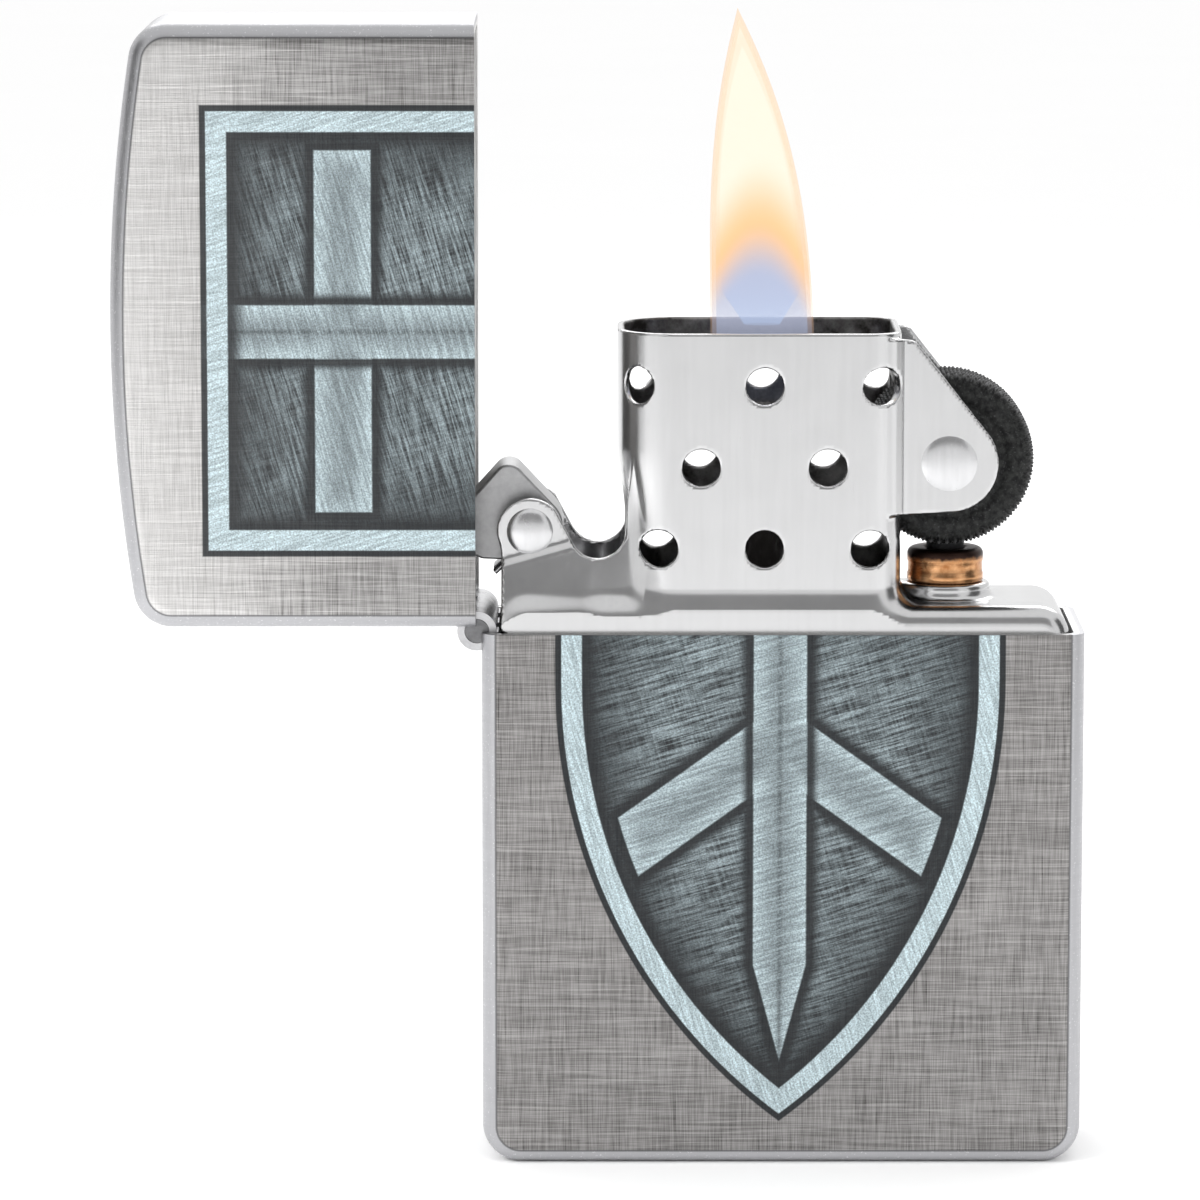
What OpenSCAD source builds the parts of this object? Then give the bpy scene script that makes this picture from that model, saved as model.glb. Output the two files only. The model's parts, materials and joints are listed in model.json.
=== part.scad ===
// Windproof petrol pocket lighter with a flip-top lid. Millimetres, +Z up.
// The origin is the centre of the underside, the hinge is on -X and the front is -Y.
// The lid is drawn standing open at a right angle, as it is while the lighter burns.

/* [Case] */
// Width of the case
case_w = 38.1; // [37:0.1:50]
// Depth of the case, front to back
case_d = 12.7; // [12:0.1:17]
// Height of the base, underside to rim
base_h = 34.15; // [28:0.05:46]
// Height of the lid, rim to crown
lid_h = 22.9; // [22:0.05:30]
// Slit between the rims of the closed case
split_gap = 0.1; // [0.05:0.05:0.3]
// Thickness of the case sheet
wall = 0.7; // [0.5:0.05:0.85]
// Radius of the corners in the front view
corner_r = 2.45; // [2.1:0.05:3.5]
// Radius of the long edges of the case
edge_r = 1.4; // [1:0.05:2]
// Radius of the crown of the lid
crown_r = 110; // [80:5:200]

/* [Hinge] */
// Distance from the case side to the hinge axis
hinge_out = 0.3; // [0.2:0.05:0.4]
// Radius of the hinge pin
pin_r = 0.75; // [0.5:0.05:0.85]
// Outer radius of the knuckles
knuckle_r = 1.25; // [1.15:0.05:1.3]
// Length of the barrel
barrel_l = 10; // [8:0.1:10.6]
// Number of knuckles in the barrel
knuckles = 5; // [3:2:7]
// Slit between two knuckles
knuckle_gap = 0.06; // [0.04:0.01:0.1]
// Thickness of the hinge leaves
leaf_t = 0.35; // [0.25:0.05:0.4]
// Height of the leaf in the base
base_leaf_h = 5.6; // [4:0.1:8]
// Height of the leaf in the lid
lid_leaf_h = 4.6; // [3:0.1:4.8]

/* [Insert] */
// Thickness of the insert sheet
sheet_t = 0.4; // [0.3:0.05:0.5]
// Slit between the insert and the hinge leaf beside it
leaf_slit = 0.15; // [0.05:0.05:0.3]
// Slit between the insert and the far side of the base
side_slit = 0.25; // [0.1:0.05:0.4]
// Slit between the insert and the front and back of the base
face_slit = 0.1; // [0.05:0.05:0.2]
// Height of the deck above the rim of the base
deck_rise = 1.6; // [1.2:0.1:2.4]
// Radius of the ends of the deck in the front view
deck_corner_r = 1.9; // [1.4:0.1:2.5]
// Radius of the front and back edges of the deck
deck_edge_r = 1.2; // [0.8:0.1:1.3]
// Distance from the rim of the base down to the seam of the tank
seam_drop = 2.2; // [2:0.1:6]
// Height of the lip that holds tank and top together
lip_h = 1.2; // [0.6:0.1:1.3]
// Thickness of the felt pad
felt_t = 2.6; // [1.5:0.1:4]

/* [Windscreen] */
// Width of the windscreen
screen_w = 17.9; // [16:0.1:18]
// Depth of the windscreen
screen_d = 10.4; // [10:0.1:10.6]
// Height of the windscreen above the rim of the base
screen_rise = 18.95; // [17:0.05:19.5]
// Thickness of the windscreen sheet
screen_t = 0.45; // [0.35:0.05:0.6]
// Distance from the hinge end of the insert to the windscreen
screen_inset = 7.35; // [7.2:0.05:8]
// Plan radius of the windscreen at the hinge end
screen_r_hinge = 3.75; // [3:0.05:4.2]
// Plan radius of the windscreen at the wheel end
screen_r_wheel = 2; // [1.2:0.1:2.4]
// Radius of the air holes
hole_r = 1.18; // [0.8:0.02:1.4]
// Height of the lowest row of air holes above the rim
hole_rise = 5.3; // [4:0.1:7]
// Height from one row of air holes to the next
hole_pitch = 5.15; // [3.2:0.05:5.4]
// Distance from the sides of the windscreen to the outer holes of the top row
hole_top_inset = 1.2; // [1.2:0.05:3]
// Distance from the sides of the windscreen to the outer holes of the bottom row
hole_low_inset = 2.3; // [1.6:0.05:4]

/* [Striker] */
// Radius of the striker wheel over its teeth
wheel_r = 5.5; // [4.4:0.1:6]
// Width of the toothed rim
wheel_w = 5.6; // [4:0.1:6.4]
// Number of teeth
wheel_teeth = 66; // [30:2:80]
// Depth of the teeth
tooth_h = 0.28; // [0.1:0.02:0.4]
// Distance from the windscreen to the wheel axle
wheel_out = 3.05; // [2.6:0.05:3.4]
// Height of the wheel axle above the rim of the base
wheel_rise = 10.65; // [9.6:0.05:11.5]
// Distance over the outside of the two wheel ears
wheel_ear_span = 9; // [8:0.1:9.4]
// Radius of the round end of a wheel ear
wheel_ear_r = 3.1; // [2.4:0.1:3.4]
// Radius of the wheel rivet
axle_r = 0.9; // [0.6:0.05:1.1]
// Radius of the heads of the wheel rivet
axle_head_r = 1.76; // [1.3:0.02:2]
// Height of the heads of the wheel rivet
axle_head_h = 0.3; // [0.2:0.05:0.6]

/* [Cam] */
// Distance from the hinge axis to the cam pivot, across
cam_dx = 3.35; // [3.3:0.05:3.6]
// Distance from the hinge axis up to the cam pivot
cam_dz = 6.2; // [6:0.05:6.8]
// Radius of the cam round its pivot
cam_r = 2.1; // [1.6:0.05:2.1]
// Width of the cam
cam_w = 4.4; // [3:0.1:5.5]
// Distance over the outside of the two cam ears
cam_ear_span = 7.8; // [7:0.1:8.4]
// Radius of the round end of a cam ear
cam_ear_r = 2.1; // [1.8:0.05:2.1]
// Radius of the valley between cam ear and windscreen
valley_r = 1.8; // [1.2:0.1:1.9]
// Radius of the cam rivet
cam_pin_r = 0.7; // [0.5:0.05:0.9]
// Radius of the heads of the cam rivet
cam_head_r = 1.46; // [1.1:0.02:1.6]
// Height of the heads of the cam rivet
cam_head_h = 0.45; // [0.2:0.05:0.7]
// Thickness of the cam spring
cam_spring_t = 0.3; // [0.2:0.05:0.4]
// Width of the cam spring
cam_spring_w = 4; // [2:0.1:5]

/* [Flint] */
// Radius of the flint
flint_r = 1.2; // [0.9:0.05:1.3]
// Length of a new flint
flint_l = 4.5; // [2.5:0.1:5.5]
// Thickness of the flint tube
tube_t = 0.7; // [0.4:0.05:0.8]
// Radius of the head of the flint tube
tube_head_r = 2.42; // [2.2:0.02:2.6]
// Height of the head of the flint tube
tube_head_h = 2.15; // [1.5:0.05:2.4]
// Width of the punched collar round the flint tube
collar_t = 0.4; // [0.2:0.05:0.6]
// Length of the thread of the flint screw
screw_l = 3.4; // [2:0.1:6]
// Number of coils of the flint spring
coils = 15; // [8:1:18]

/* [Wick] */
// Radius of the wick
wick_r = 1.45; // [1:0.05:1.8]
// Distance from the top of the windscreen down to the top of the wick
wick_drop = 4.9; // [0:0.1:8]

/* [Fits] */
// Radial clearance of a running fit
run_gap = 0.03; // [0.02:0.01:0.08]
// Clearance between parts that pass each other
pass_gap = 0.1; // [0.06:0.01:0.2]

/* [Hidden] */
$fn = 64;
hull_fn = 32;
arc_n = 8;
slab_t = 0.5;
cut = 1;
touch_gap = 0.02;

// Hinge: the axis lies level with the slit, outside the case side
hinge_x = -case_w / 2 - hinge_out;
hinge_z = base_h + split_gap / 2;
lid_z = base_h + split_gap;
notch_gap = pass_gap;
knuckle_pitch = barrel_l / knuckles;
leaf_x = -case_w / 2 + wall;

// Insert: it fills the base beside the hinge leaf, and ends above the rounded corners of the base
insert_x0 = leaf_x + leaf_t + leaf_slit;
insert_x1 = case_w / 2 - wall - side_slit;
insert_d = case_d - 2 * (wall + face_slit);
insert_z0 = corner_r;
insert_r = edge_r - wall + 2 * face_slit;
seam_z = base_h - seam_drop;
deck_z = base_h + deck_rise;

// Windscreen and its holes
screen_x0 = insert_x0 + screen_inset;
screen_x1 = screen_x0 + screen_w;
screen_x = (screen_x0 + screen_x1) / 2;
screen_z = base_h + screen_rise;
hole_shift = 0.35;
hole_z = base_h + hole_rise;
hole_top_x = screen_w / 2 - hole_top_inset;
hole_low_x = screen_w / 2 - hole_low_inset;
hole_mid_x = hole_low_x * 0.6;

// Wheel, its ears and its rivet
wheel_x = screen_x1 + wheel_out;
wheel_z = base_h + wheel_rise;
ear_t = 0.55;
wheel_ear_y = wheel_ear_span / 2 - ear_t;
wheel_room = 0.4;
ear_tip_r = 0.6;
ear_tip = [screen_x1 + 0.8, screen_z - 1.4];
ear_root_w = 0.2;
ear_root_x = screen_x1 - 0.35;
ear_root_z = wheel_z - wheel_ear_r - 0.1;
ear_root_top = screen_z - 3;

// Cam, its ears and its rivet; the outline is a ring of circles round the pivot
cam_x = hinge_x + cam_dx;
cam_z = hinge_z + cam_dz;
cam_ear_t = 0.5;
cam_ear_y = cam_ear_span / 2 - cam_ear_t;
cam_lobes = [[0, 0, cam_r], [-1.35, 3.05, 1], [-4.6, -0.4, 0.9], [-2.9, -1.3, 0.7]];
cam_boss_r = cam_r * 0.7;
valley = [screen_x0 - 1.25, deck_z + 4.75];
cam_ear_right = screen_x0 + 1.2;
cam_ear_low = deck_z - sheet_t / 2;
cam_ear_step = hinge_z + lid_leaf_h + 0.3;
cam_ear_shoulder = 42;

// Cam spring: it is fixed to the deck, and its crest bears on the cam from below
spring_half = cam_spring_t / 2;
spring_crest = cam_z - cam_r - touch_gap - spring_half;
spring_bed = deck_z + spring_half + 0.01;
spring_foot_x = screen_x0 - 0.9;
spring_rivet_x = spring_foot_x - 0.9;
spring_rivet_r = 0.45;
spring_rivet_head = 0.3;
cam_spring_path = [[spring_foot_x, spring_bed], [cam_x + 0.6, spring_bed],
    [cam_x - 0.9, spring_crest - 0.25], [cam_x - 1.5, spring_crest],
    [cam_x - 2.25, spring_crest + spring_half - 0.75]];

// Flint line: the flint stands under the wheel in a tube that runs down to the screw
tube_x = wheel_x;
tube_bore_r = flint_r + run_gap * 2;
tube_r = tube_bore_r + tube_t;
flint_rise = 0.35;
flint_top = wheel_z - wheel_r - touch_gap;
tube_top = flint_top - flint_rise;
tube_head_z = tube_top - tube_head_h;
collar_r = tube_head_r + collar_t;
pusher_l = 1.4;
pusher_top = flint_top - flint_l;
screw_head_z = insert_z0 + 0.15;
screw_head_h = 0.7;
screw_head_r = tube_r + 0.2;
tube_z0 = screw_head_z + screw_head_h + touch_gap;
screw_top = tube_z0 + screw_l;
spring_top = pusher_top - pusher_l - touch_gap;
spring_z0 = screw_top + touch_gap;
coil_wire_r = 0.22;

// Wick and packing
wick_x = screen_x + hole_shift;
felt_z = insert_z0 + 0.4;
wick_z0 = felt_z + felt_t + 0.2;
pack_gap = 0.25;
pack_z0 = felt_z + felt_t + pack_gap;
pack_z1 = seam_z - pack_gap;
pack_d = insert_d - 2 * sheet_t - 2 * pack_gap;

// Points of an arc round [x, y]
function arc(c, r, a0, a1, n = arc_n) =
    [for (i = [0:n]) [c[0] + r * cos(a0 + (a1 - a0) * i / n), c[1] + r * sin(a0 + (a1 - a0) * i / n)]];

// Rectangle from x0 to x1, centred on y = 0, with one corner radius at each end
module rounded_bar(x0, x1, d, r0, r1) {
    polygon(concat(
        arc([x0 + r0, -d / 2 + r0], r0, 180, 270),
        arc([x1 - r1, -d / 2 + r1], r1, 270, 360),
        arc([x1 - r1, d / 2 - r1], r1, 0, 90),
        arc([x0 + r0, d / 2 - r0], r0, 90, 180)));
}

// Turns a profile about the front-to-back line through [x, z]
module spin(x, z) {
    translate([x, 0, z]) rotate([90, 0, 0]) rotate_extrude() children();
}

// Straight rod along Y through [x, z]
module rod(x, z, r, len) {
    translate([x, 0, z]) rotate([90, 0, 0]) cylinder(r = r, h = len, center = true);
}

// Outline drawn in the XZ plane, given a thickness from y = y0 backwards
module plate(y0, t) {
    translate([0, y0 + t, 0]) rotate([90, 0, 0]) linear_extrude(t) children();
}

// Disc with rounded edges, which is one corner of a drawn shell
module edge_disc(r, edge, depth) {
    rotate([90, 0, 0])
        rotate_extrude($fn = hull_fn)
            polygon(concat([[0, -depth / 2]],
                arc([r - edge, -depth / 2 + edge], edge, 270, 360),
                arc([r - edge, depth / 2 - edge], edge, 0, 90),
                [[0, depth / 2]]));
}

// Drawn shell form: a slab at its mouth blended into discs at its closed end
module drawn_form(centres, r, edge, depth, x0, x1, z) {
    hull() {
        for (c = centres)
            translate([c[0], 0, c[1]]) edge_disc(r, edge, depth);
        translate([0, 0, z])
            linear_extrude(slab_t) rounded_bar(x0, x1, depth, edge, edge);
    }
}

// Form of the base, inset from the outside by t and with its mouth at z
module base_form(t, z) {
    centres = [for (s = [-1, 1]) [s * (case_w / 2 - corner_r), corner_r]];
    drawn_form(centres, corner_r - t, edge_r - t, case_d - 2 * t,
        -case_w / 2 + t, case_w / 2 - t, z);
}

// Form of the closed lid, inset from the outside by t and with its mouth at z
module lid_form(t, z) {
    steps = 5;
    ring_r = crown_r - corner_r;
    swing = asin((case_w / 2 - corner_r) / ring_r);
    low = lid_z + lid_h - crown_r;
    centres = [for (i = [-steps:steps])
        [ring_r * sin(swing * i / steps), low + ring_r * cos(swing * i / steps)]];
    drawn_form(centres, corner_r - t, edge_r - t, case_d - 2 * t,
        -case_w / 2 + t, case_w / 2 - t, z);
}

// Form of the top of the insert, inset from the outside by t and with its mouth at z
module deck_form(t, z) {
    centres = [for (x = [insert_x0 + deck_corner_r, insert_x1 - deck_corner_r])
        [x, deck_z - deck_corner_r]];
    drawn_form(centres, deck_corner_r - t, deck_edge_r - t, insert_d - 2 * t,
        insert_x0 + t, insert_x1 - t, z);
}

// Swings a piece from its closed place to the open lid
module lid_open() {
    translate([hinge_x, 0, hinge_z])
        rotate([0, -90, 0])
            translate([-hinge_x, 0, -hinge_z]) children();
}

// Room for the barrel in the rims of base and lid
module barrel_notch() {
    reach = knuckle_r + notch_gap;
    translate([hinge_x - reach, -barrel_l / 2 - notch_gap, hinge_z - reach])
        cube([reach * 2, barrel_l + notch_gap * 2, reach * 2]);
}

// Leaf with every second knuckle, first = 0 for the base and 1 for the lid; up is the plate's way
module hinge_leaf(first, up, plate_h) {
    z0 = up > 0 ? hinge_z + split_gap / 2 : hinge_z - split_gap / 2 - plate_h;
    reach = knuckle_r + notch_gap;
    difference() {
        union() {
            difference() {
                translate([leaf_x, -barrel_l / 2, z0]) cube([leaf_t, barrel_l, plate_h]);
                for (i = [1 - first:2:knuckles - 1])
                    translate([hinge_x - reach, -barrel_l / 2 + i * knuckle_pitch, hinge_z - reach])
                        cube([reach * 2 + leaf_t, knuckle_pitch, reach * 2]);
            }
            for (i = [first:2:knuckles - 1])
                translate([hinge_x, -barrel_l / 2 + i * knuckle_pitch + knuckle_gap / 2, hinge_z])
                    rotate([-90, 0, 0])
                        cylinder(r = knuckle_r, h = knuckle_pitch - knuckle_gap);
        }
        rod(hinge_x, hinge_z, pin_r + run_gap, barrel_l + cut);
    }
}

// Rivet along Y with a low domed head outside each of two ears
module rivet(x, z, r, head_r, head_h, span) {
    half = span / 2;
    dome = [[1, 0], [1, 0.15], [0.88, 0.6], [0.55, 1], [0, 1]];
    head = [for (p = dome) [head_r * p[0], half + head_h * p[1]]];
    spin(x, z)
        polygon(concat(
            [for (i = [len(head) - 1:-1:0]) [head[i][0], -head[i][1]]],
            [[r, -half], [r, half]],
            head));
}

module base_shell() {
    color("#a5a29f")
        difference() {
            base_form(0, base_h - slab_t);
            base_form(wall, base_h);
            barrel_notch();
        }
}

module base_hinge_leaf() {
    color("#b8b8bb") hinge_leaf(0, -1, base_leaf_h);
}

module hinge_pin() {
    color("#6c6c70") rod(hinge_x, hinge_z, pin_r, barrel_l - knuckle_gap);
}

module lid_shell() {
    color("#aeabaa")
        lid_open()
            difference() {
                lid_form(0, lid_z);
                lid_form(wall, lid_z - slab_t);
                barrel_notch();
            }
}

module lid_hinge_leaf() {
    color("#b8b8bb") lid_open() hinge_leaf(1, 1, lid_leaf_h);
}

// Outline of the insert, inset by t
module insert_outline(t) {
    rounded_bar(insert_x0 + t, insert_x1 - t, insert_d - 2 * t, insert_r, insert_r);
}

module fuel_tank() {
    lip_t = sheet_t + touch_gap;
    color("#c9cacd") {
        difference() {
            union() {
                translate([0, 0, insert_z0])
                    linear_extrude(seam_z - insert_z0) insert_outline(0);
                translate([0, 0, seam_z])
                    linear_extrude(lip_h) insert_outline(lip_t);
            }
            translate([0, 0, insert_z0 - cut])
                linear_extrude(seam_z - lip_h - insert_z0 + cut) insert_outline(sheet_t);
            translate([0, 0, insert_z0])
                linear_extrude(base_h) insert_outline(lip_t + sheet_t);
        }
    }
}

// Wheel ear: a round end at the axle, drawn out to a tip beside the windscreen
module wheel_ear_outline() {
    hull() {
        translate([wheel_x, wheel_z]) circle(r = wheel_ear_r, $fn = hull_fn);
        translate(ear_tip) circle(r = ear_tip_r, $fn = hull_fn);
        translate([ear_root_x, ear_root_z]) square([ear_root_w, ear_root_top - ear_root_z]);
    }
}

// Cam ear: a round end at the pivot, a straight slope, and a valley up to the windscreen
module cam_ear_outline() {
    polygon(concat(
        [[insert_x0, cam_ear_low], [insert_x0, cam_ear_step]],
        arc([cam_x, cam_z], cam_ear_r, 185, cam_ear_shoulder),
        arc(valley, valley_r, 205, 360),
        [[cam_ear_right, valley[1]], [cam_ear_right, cam_ear_low]]));
}

module windscreen_top() {
    collar_top = tube_head_z;
    color("#cfd0d2")
        difference() {
            union() {
                deck_form(0, seam_z);
                translate([0, 0, deck_z - sheet_t])
                    linear_extrude(screen_z - deck_z + sheet_t)
                        rounded_bar(screen_x0, screen_x1, screen_d, screen_r_hinge, screen_r_wheel);
                plate(wheel_ear_y, ear_t) wheel_ear_outline();
                plate(-wheel_ear_y - ear_t, ear_t) wheel_ear_outline();
                plate(cam_ear_y, cam_ear_t) cam_ear_outline();
                plate(-cam_ear_y - cam_ear_t, cam_ear_t) cam_ear_outline();
                translate([tube_x, 0, deck_z - sheet_t / 2])
                    cylinder(r = collar_r, h = collar_top - deck_z + sheet_t / 2);
            }
            deck_form(sheet_t, seam_z - slab_t + 0.01);
            translate([0, 0, seam_z - cut])
                linear_extrude(cut + lip_h) insert_outline(sheet_t);
            translate([0, 0, deck_z])
                linear_extrude(screen_z)
                    rounded_bar(screen_x0 + screen_t, screen_x1 - screen_t, screen_d - 2 * screen_t,
                        screen_r_hinge - screen_t, screen_r_wheel - screen_t);
            air_holes();
            rod(wheel_x, wheel_z, wheel_r + wheel_room, wheel_w + 2 * wheel_room);
            rod(wheel_x, wheel_z, axle_r + run_gap, case_d);
            rod(cam_x, cam_z, cam_pin_r + run_gap, case_d);
            translate([tube_x, 0, seam_z]) cylinder(r = tube_r + run_gap, h = wheel_z - seam_z);
            translate([wick_x, 0, seam_z]) cylinder(r = wick_r + pass_gap, h = deck_z - seam_z + cut);
            translate([spring_rivet_x, 0, seam_z])
                cylinder(r = spring_rivet_r + run_gap, h = deck_z - seam_z + cut);
        }
}

// Air holes, straight through the front and back of the windscreen
module air_holes() {
    for (x = [screen_x - hole_top_x, wick_x, screen_x + hole_top_x])
        rod(x, hole_z + 2 * hole_pitch, hole_r, case_d);
    for (x = [wick_x - hole_mid_x, wick_x + hole_mid_x])
        rod(x, hole_z + hole_pitch, hole_r, case_d);
    for (x = [wick_x - hole_low_x, wick_x, wick_x + hole_low_x])
        rod(x, hole_z, hole_r, case_d);
}

module striker_wheel() {
    chamfer = 0.35;
    boss_r = wheel_r * 0.5;
    half_w = wheel_w / 2;
    boss_half = wheel_ear_y - pass_gap;
    root_r = wheel_r - tooth_h;
    color("#2b2b2c")
        difference() {
            union() {
                intersection() {
                    translate([wheel_x, half_w, wheel_z])
                        rotate([90, 0, 0])
                            linear_extrude(wheel_w)
                                polygon([for (i = [0:2 * wheel_teeth - 1])
                                    (i % 2 == 0 ? wheel_r : root_r)
                                    * [cos(180 * i / wheel_teeth), sin(180 * i / wheel_teeth)]]);
                    spin(wheel_x, wheel_z)
                        polygon([[0, -half_w], [root_r - chamfer, -half_w],
                            [wheel_r + chamfer, -half_w + 2 * chamfer],
                            [wheel_r + chamfer, half_w - 2 * chamfer],
                            [root_r - chamfer, half_w], [0, half_w]]);
                }
                rod(wheel_x, wheel_z, boss_r, 2 * boss_half);
            }
            rod(wheel_x, wheel_z, axle_r + run_gap, case_d);
        }
}

module wheel_rivet() {
    color("#d8d8da") rivet(wheel_x, wheel_z, axle_r, axle_head_r, axle_head_h, wheel_ear_span);
}

module cam() {
    color("#8e9093")
        difference() {
            union() {
                plate(-cam_w / 2, cam_w)
                    hull()
                        for (c = cam_lobes)
                            translate([cam_x + c[0], cam_z + c[1]]) circle(r = c[2], $fn = hull_fn);
                rod(cam_x, cam_z, cam_boss_r, 2 * (cam_ear_y - pass_gap));
            }
            rod(cam_x, cam_z, cam_pin_r + run_gap, case_d);
        }
}

module cam_rivet() {
    color("#d8d8da") rivet(cam_x, cam_z, cam_pin_r, cam_head_r, cam_head_h, cam_ear_span);
}

module cam_spring() {
    color("#b9bbbd")
        difference() {
            plate(-cam_spring_w / 2, cam_spring_w)
                for (i = [0:len(cam_spring_path) - 2])
                    hull()
                        for (p = [cam_spring_path[i], cam_spring_path[i + 1]])
                            translate(p) circle(r = spring_half, $fn = 12);
            translate([spring_rivet_x, 0, deck_z - cut])
                cylinder(r = spring_rivet_r + run_gap, h = 2 * cut);
        }
}

module cam_spring_rivet() {
    top = deck_z + cam_spring_t + touch_gap;
    low = deck_z - sheet_t;
    head = spring_rivet_head;
    wide = spring_rivet_r * 1.8;
    flat = spring_rivet_r * 1.4;
    color("#d8d8da")
        translate([spring_rivet_x, 0, 0])
            rotate_extrude()
                polygon([[0, low - head], [wide, low - head], [wide, low],
                    [spring_rivet_r, low], [spring_rivet_r, top], [wide, top],
                    [flat, top + head], [0, top + head]]);
}

module flint_tube() {
    lip = 0.35;
    color("#a8683a")
        translate([tube_x, 0, 0])
            rotate_extrude()
                polygon(concat(
                    [[tube_bore_r, tube_z0], [tube_r, tube_z0], [tube_r, tube_head_z]],
                    [[tube_head_r - 0.1, tube_head_z], [tube_head_r, tube_head_z + 0.1]],
                    arc([tube_head_r - lip, tube_top - lip], lip, 0, 90),
                    [[tube_bore_r, tube_top]]));
}

module flint() {
    color("#4a4a4c")
        translate([tube_x, 0, pusher_top]) cylinder(r = flint_r, h = flint_l);
}

module flint_pusher() {
    head = 0.6;
    color("#c9a14a")
        translate([tube_x, 0, pusher_top - pusher_l])
            union() {
                translate([0, 0, pusher_l - head]) cylinder(r = flint_r, h = head);
                cylinder(r = flint_r - 3 * coil_wire_r, h = pusher_l);
            }
}

module flint_spring() {
    mid_r = flint_r - coil_wire_r;
    color("#b9bbbd")
        translate([tube_x, 0, spring_z0])
            linear_extrude(spring_top - spring_z0, twist = -360 * coils, slices = coils * 10, $fn = 6)
                translate([mid_r, 0]) circle(r = coil_wire_r);
}

module flint_screw() {
    slot_w = 0.6;
    color("#c9a14a")
        difference() {
            translate([tube_x, 0, screw_head_z])
                union() {
                    cylinder(r = screw_head_r, h = screw_head_h);
                    cylinder(r = flint_r, h = screw_top - screw_head_z);
                }
            translate([tube_x - slot_w / 2, -tube_r - cut, screw_head_z - cut])
                cube([slot_w, 2 * (tube_r + cut), cut + screw_head_h / 2]);
        }
}

module wick() {
    color("#efe9dc")
        translate([wick_x, 0, wick_z0]) cylinder(r = wick_r, h = screen_z - wick_drop - wick_z0);
}

// One ball of packing, flattened between the faces of the tank
module packing_ball(x, z, r) {
    soft = r * 0.35;
    spin(x, z)
        polygon(concat([[0, -pack_d / 2]],
            arc([r - soft, -pack_d / 2 + soft], soft, 270, 360),
            arc([r - soft, pack_d / 2 - soft], soft, 0, 90),
            [[0, pack_d / 2]]));
}

// Balls of packing stacked from x0 to x1, n high
module packing_stack(x0, x1, n) {
    room = (pack_z1 - pack_z0) / n;
    r = (min(x1 - x0, room) - pass_gap) / 2;
    for (i = [0:n - 1])
        packing_ball((x0 + x1) / 2, pack_z0 + room * (i + 0.5), r);
}

module cotton_packing() {
    color("#f1efe9") {
        packing_stack(insert_x0 + sheet_t + pack_gap, wick_x - wick_r - pack_gap, 2);
        packing_stack(wick_x + wick_r + pack_gap, tube_x - tube_r - pack_gap, 3);
    }
}

module felt_pad() {
    color("#d9d3c4")
        difference() {
            translate([0, 0, felt_z])
                linear_extrude(felt_t) insert_outline(sheet_t + pass_gap / 2);
            translate([tube_x, 0, felt_z - cut])
                cylinder(r = screw_head_r + pass_gap, h = felt_t + 2 * cut);
        }
}

base_shell();
base_hinge_leaf();
hinge_pin();
lid_shell();
lid_hinge_leaf();
fuel_tank();
windscreen_top();
striker_wheel();
wheel_rivet();
cam();
cam_rivet();
cam_spring();
cam_spring_rivet();
flint_tube();
flint();
flint_pusher();
flint_spring();
flint_screw();
wick();
cotton_packing();
felt_pad();
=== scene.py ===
import json
import math

import bpy
import bmesh
import numpy as np
from mathutils import Matrix, Vector


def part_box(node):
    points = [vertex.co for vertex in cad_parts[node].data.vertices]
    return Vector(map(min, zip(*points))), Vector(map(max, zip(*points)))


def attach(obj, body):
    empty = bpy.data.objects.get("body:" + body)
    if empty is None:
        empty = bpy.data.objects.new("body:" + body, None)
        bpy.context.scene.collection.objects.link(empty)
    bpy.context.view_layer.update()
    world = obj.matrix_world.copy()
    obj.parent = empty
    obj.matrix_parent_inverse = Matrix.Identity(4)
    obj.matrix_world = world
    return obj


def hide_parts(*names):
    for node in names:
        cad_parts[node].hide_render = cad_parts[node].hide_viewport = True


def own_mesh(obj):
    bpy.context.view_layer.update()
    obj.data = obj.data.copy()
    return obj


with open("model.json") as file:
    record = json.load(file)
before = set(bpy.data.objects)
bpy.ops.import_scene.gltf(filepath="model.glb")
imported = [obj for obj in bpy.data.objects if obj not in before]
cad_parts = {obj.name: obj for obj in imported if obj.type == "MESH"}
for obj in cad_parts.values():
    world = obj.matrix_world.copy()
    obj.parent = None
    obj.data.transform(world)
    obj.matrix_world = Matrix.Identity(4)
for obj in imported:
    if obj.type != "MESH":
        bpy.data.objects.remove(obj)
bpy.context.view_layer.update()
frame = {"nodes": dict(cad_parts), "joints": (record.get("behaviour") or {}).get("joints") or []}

# ---- Places, in millimetres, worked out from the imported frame
MM = 0.001


def node_box(name):
    """Lowest and highest corner of a CAD node, in millimetres."""
    low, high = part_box(name)
    return np.array(low) / MM, np.array(high) / MM


def joint_record(name):
    """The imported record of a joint."""
    return [j for j in frame["joints"] if j["name"] == name][0]


def joint_place(name):
    """The point that a joint's axis runs through, in millimetres."""
    return np.array(joint_record(name)["pos_m"], float) / MM


BASE_LOW, BASE_HIGH = node_box("base_shell")
LID_LOW, LID_HIGH = node_box("lid_shell")
TOP_LOW, TOP_HIGH = node_box("windscreen_top")
WHEEL_LOW, WHEEL_HIGH = node_box("striker_wheel")
TUBE_LOW, TUBE_HIGH = node_box("flint_tube")
WICK_LOW, WICK_HIGH = node_box("wick")
HINGE = joint_place("lid_hinge")
CAM_PIVOT = joint_place("cam_pivot")
WHEEL_AXIS = joint_place("wheel_spin")

CASE_W = BASE_HIGH[0] - BASE_LOW[0]
CASE_D = BASE_HIGH[1] - BASE_LOW[1]
RIM_Z = BASE_HIGH[2]
LID_H = LID_HIGH[0] - LID_LOW[0]
LID_RIM = 2 * HINGE[2] - RIM_Z
WALL = 0.7
CORNER_R = 2.45
EDGE_R = 1.4
CROWN_R = 110.0

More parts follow.
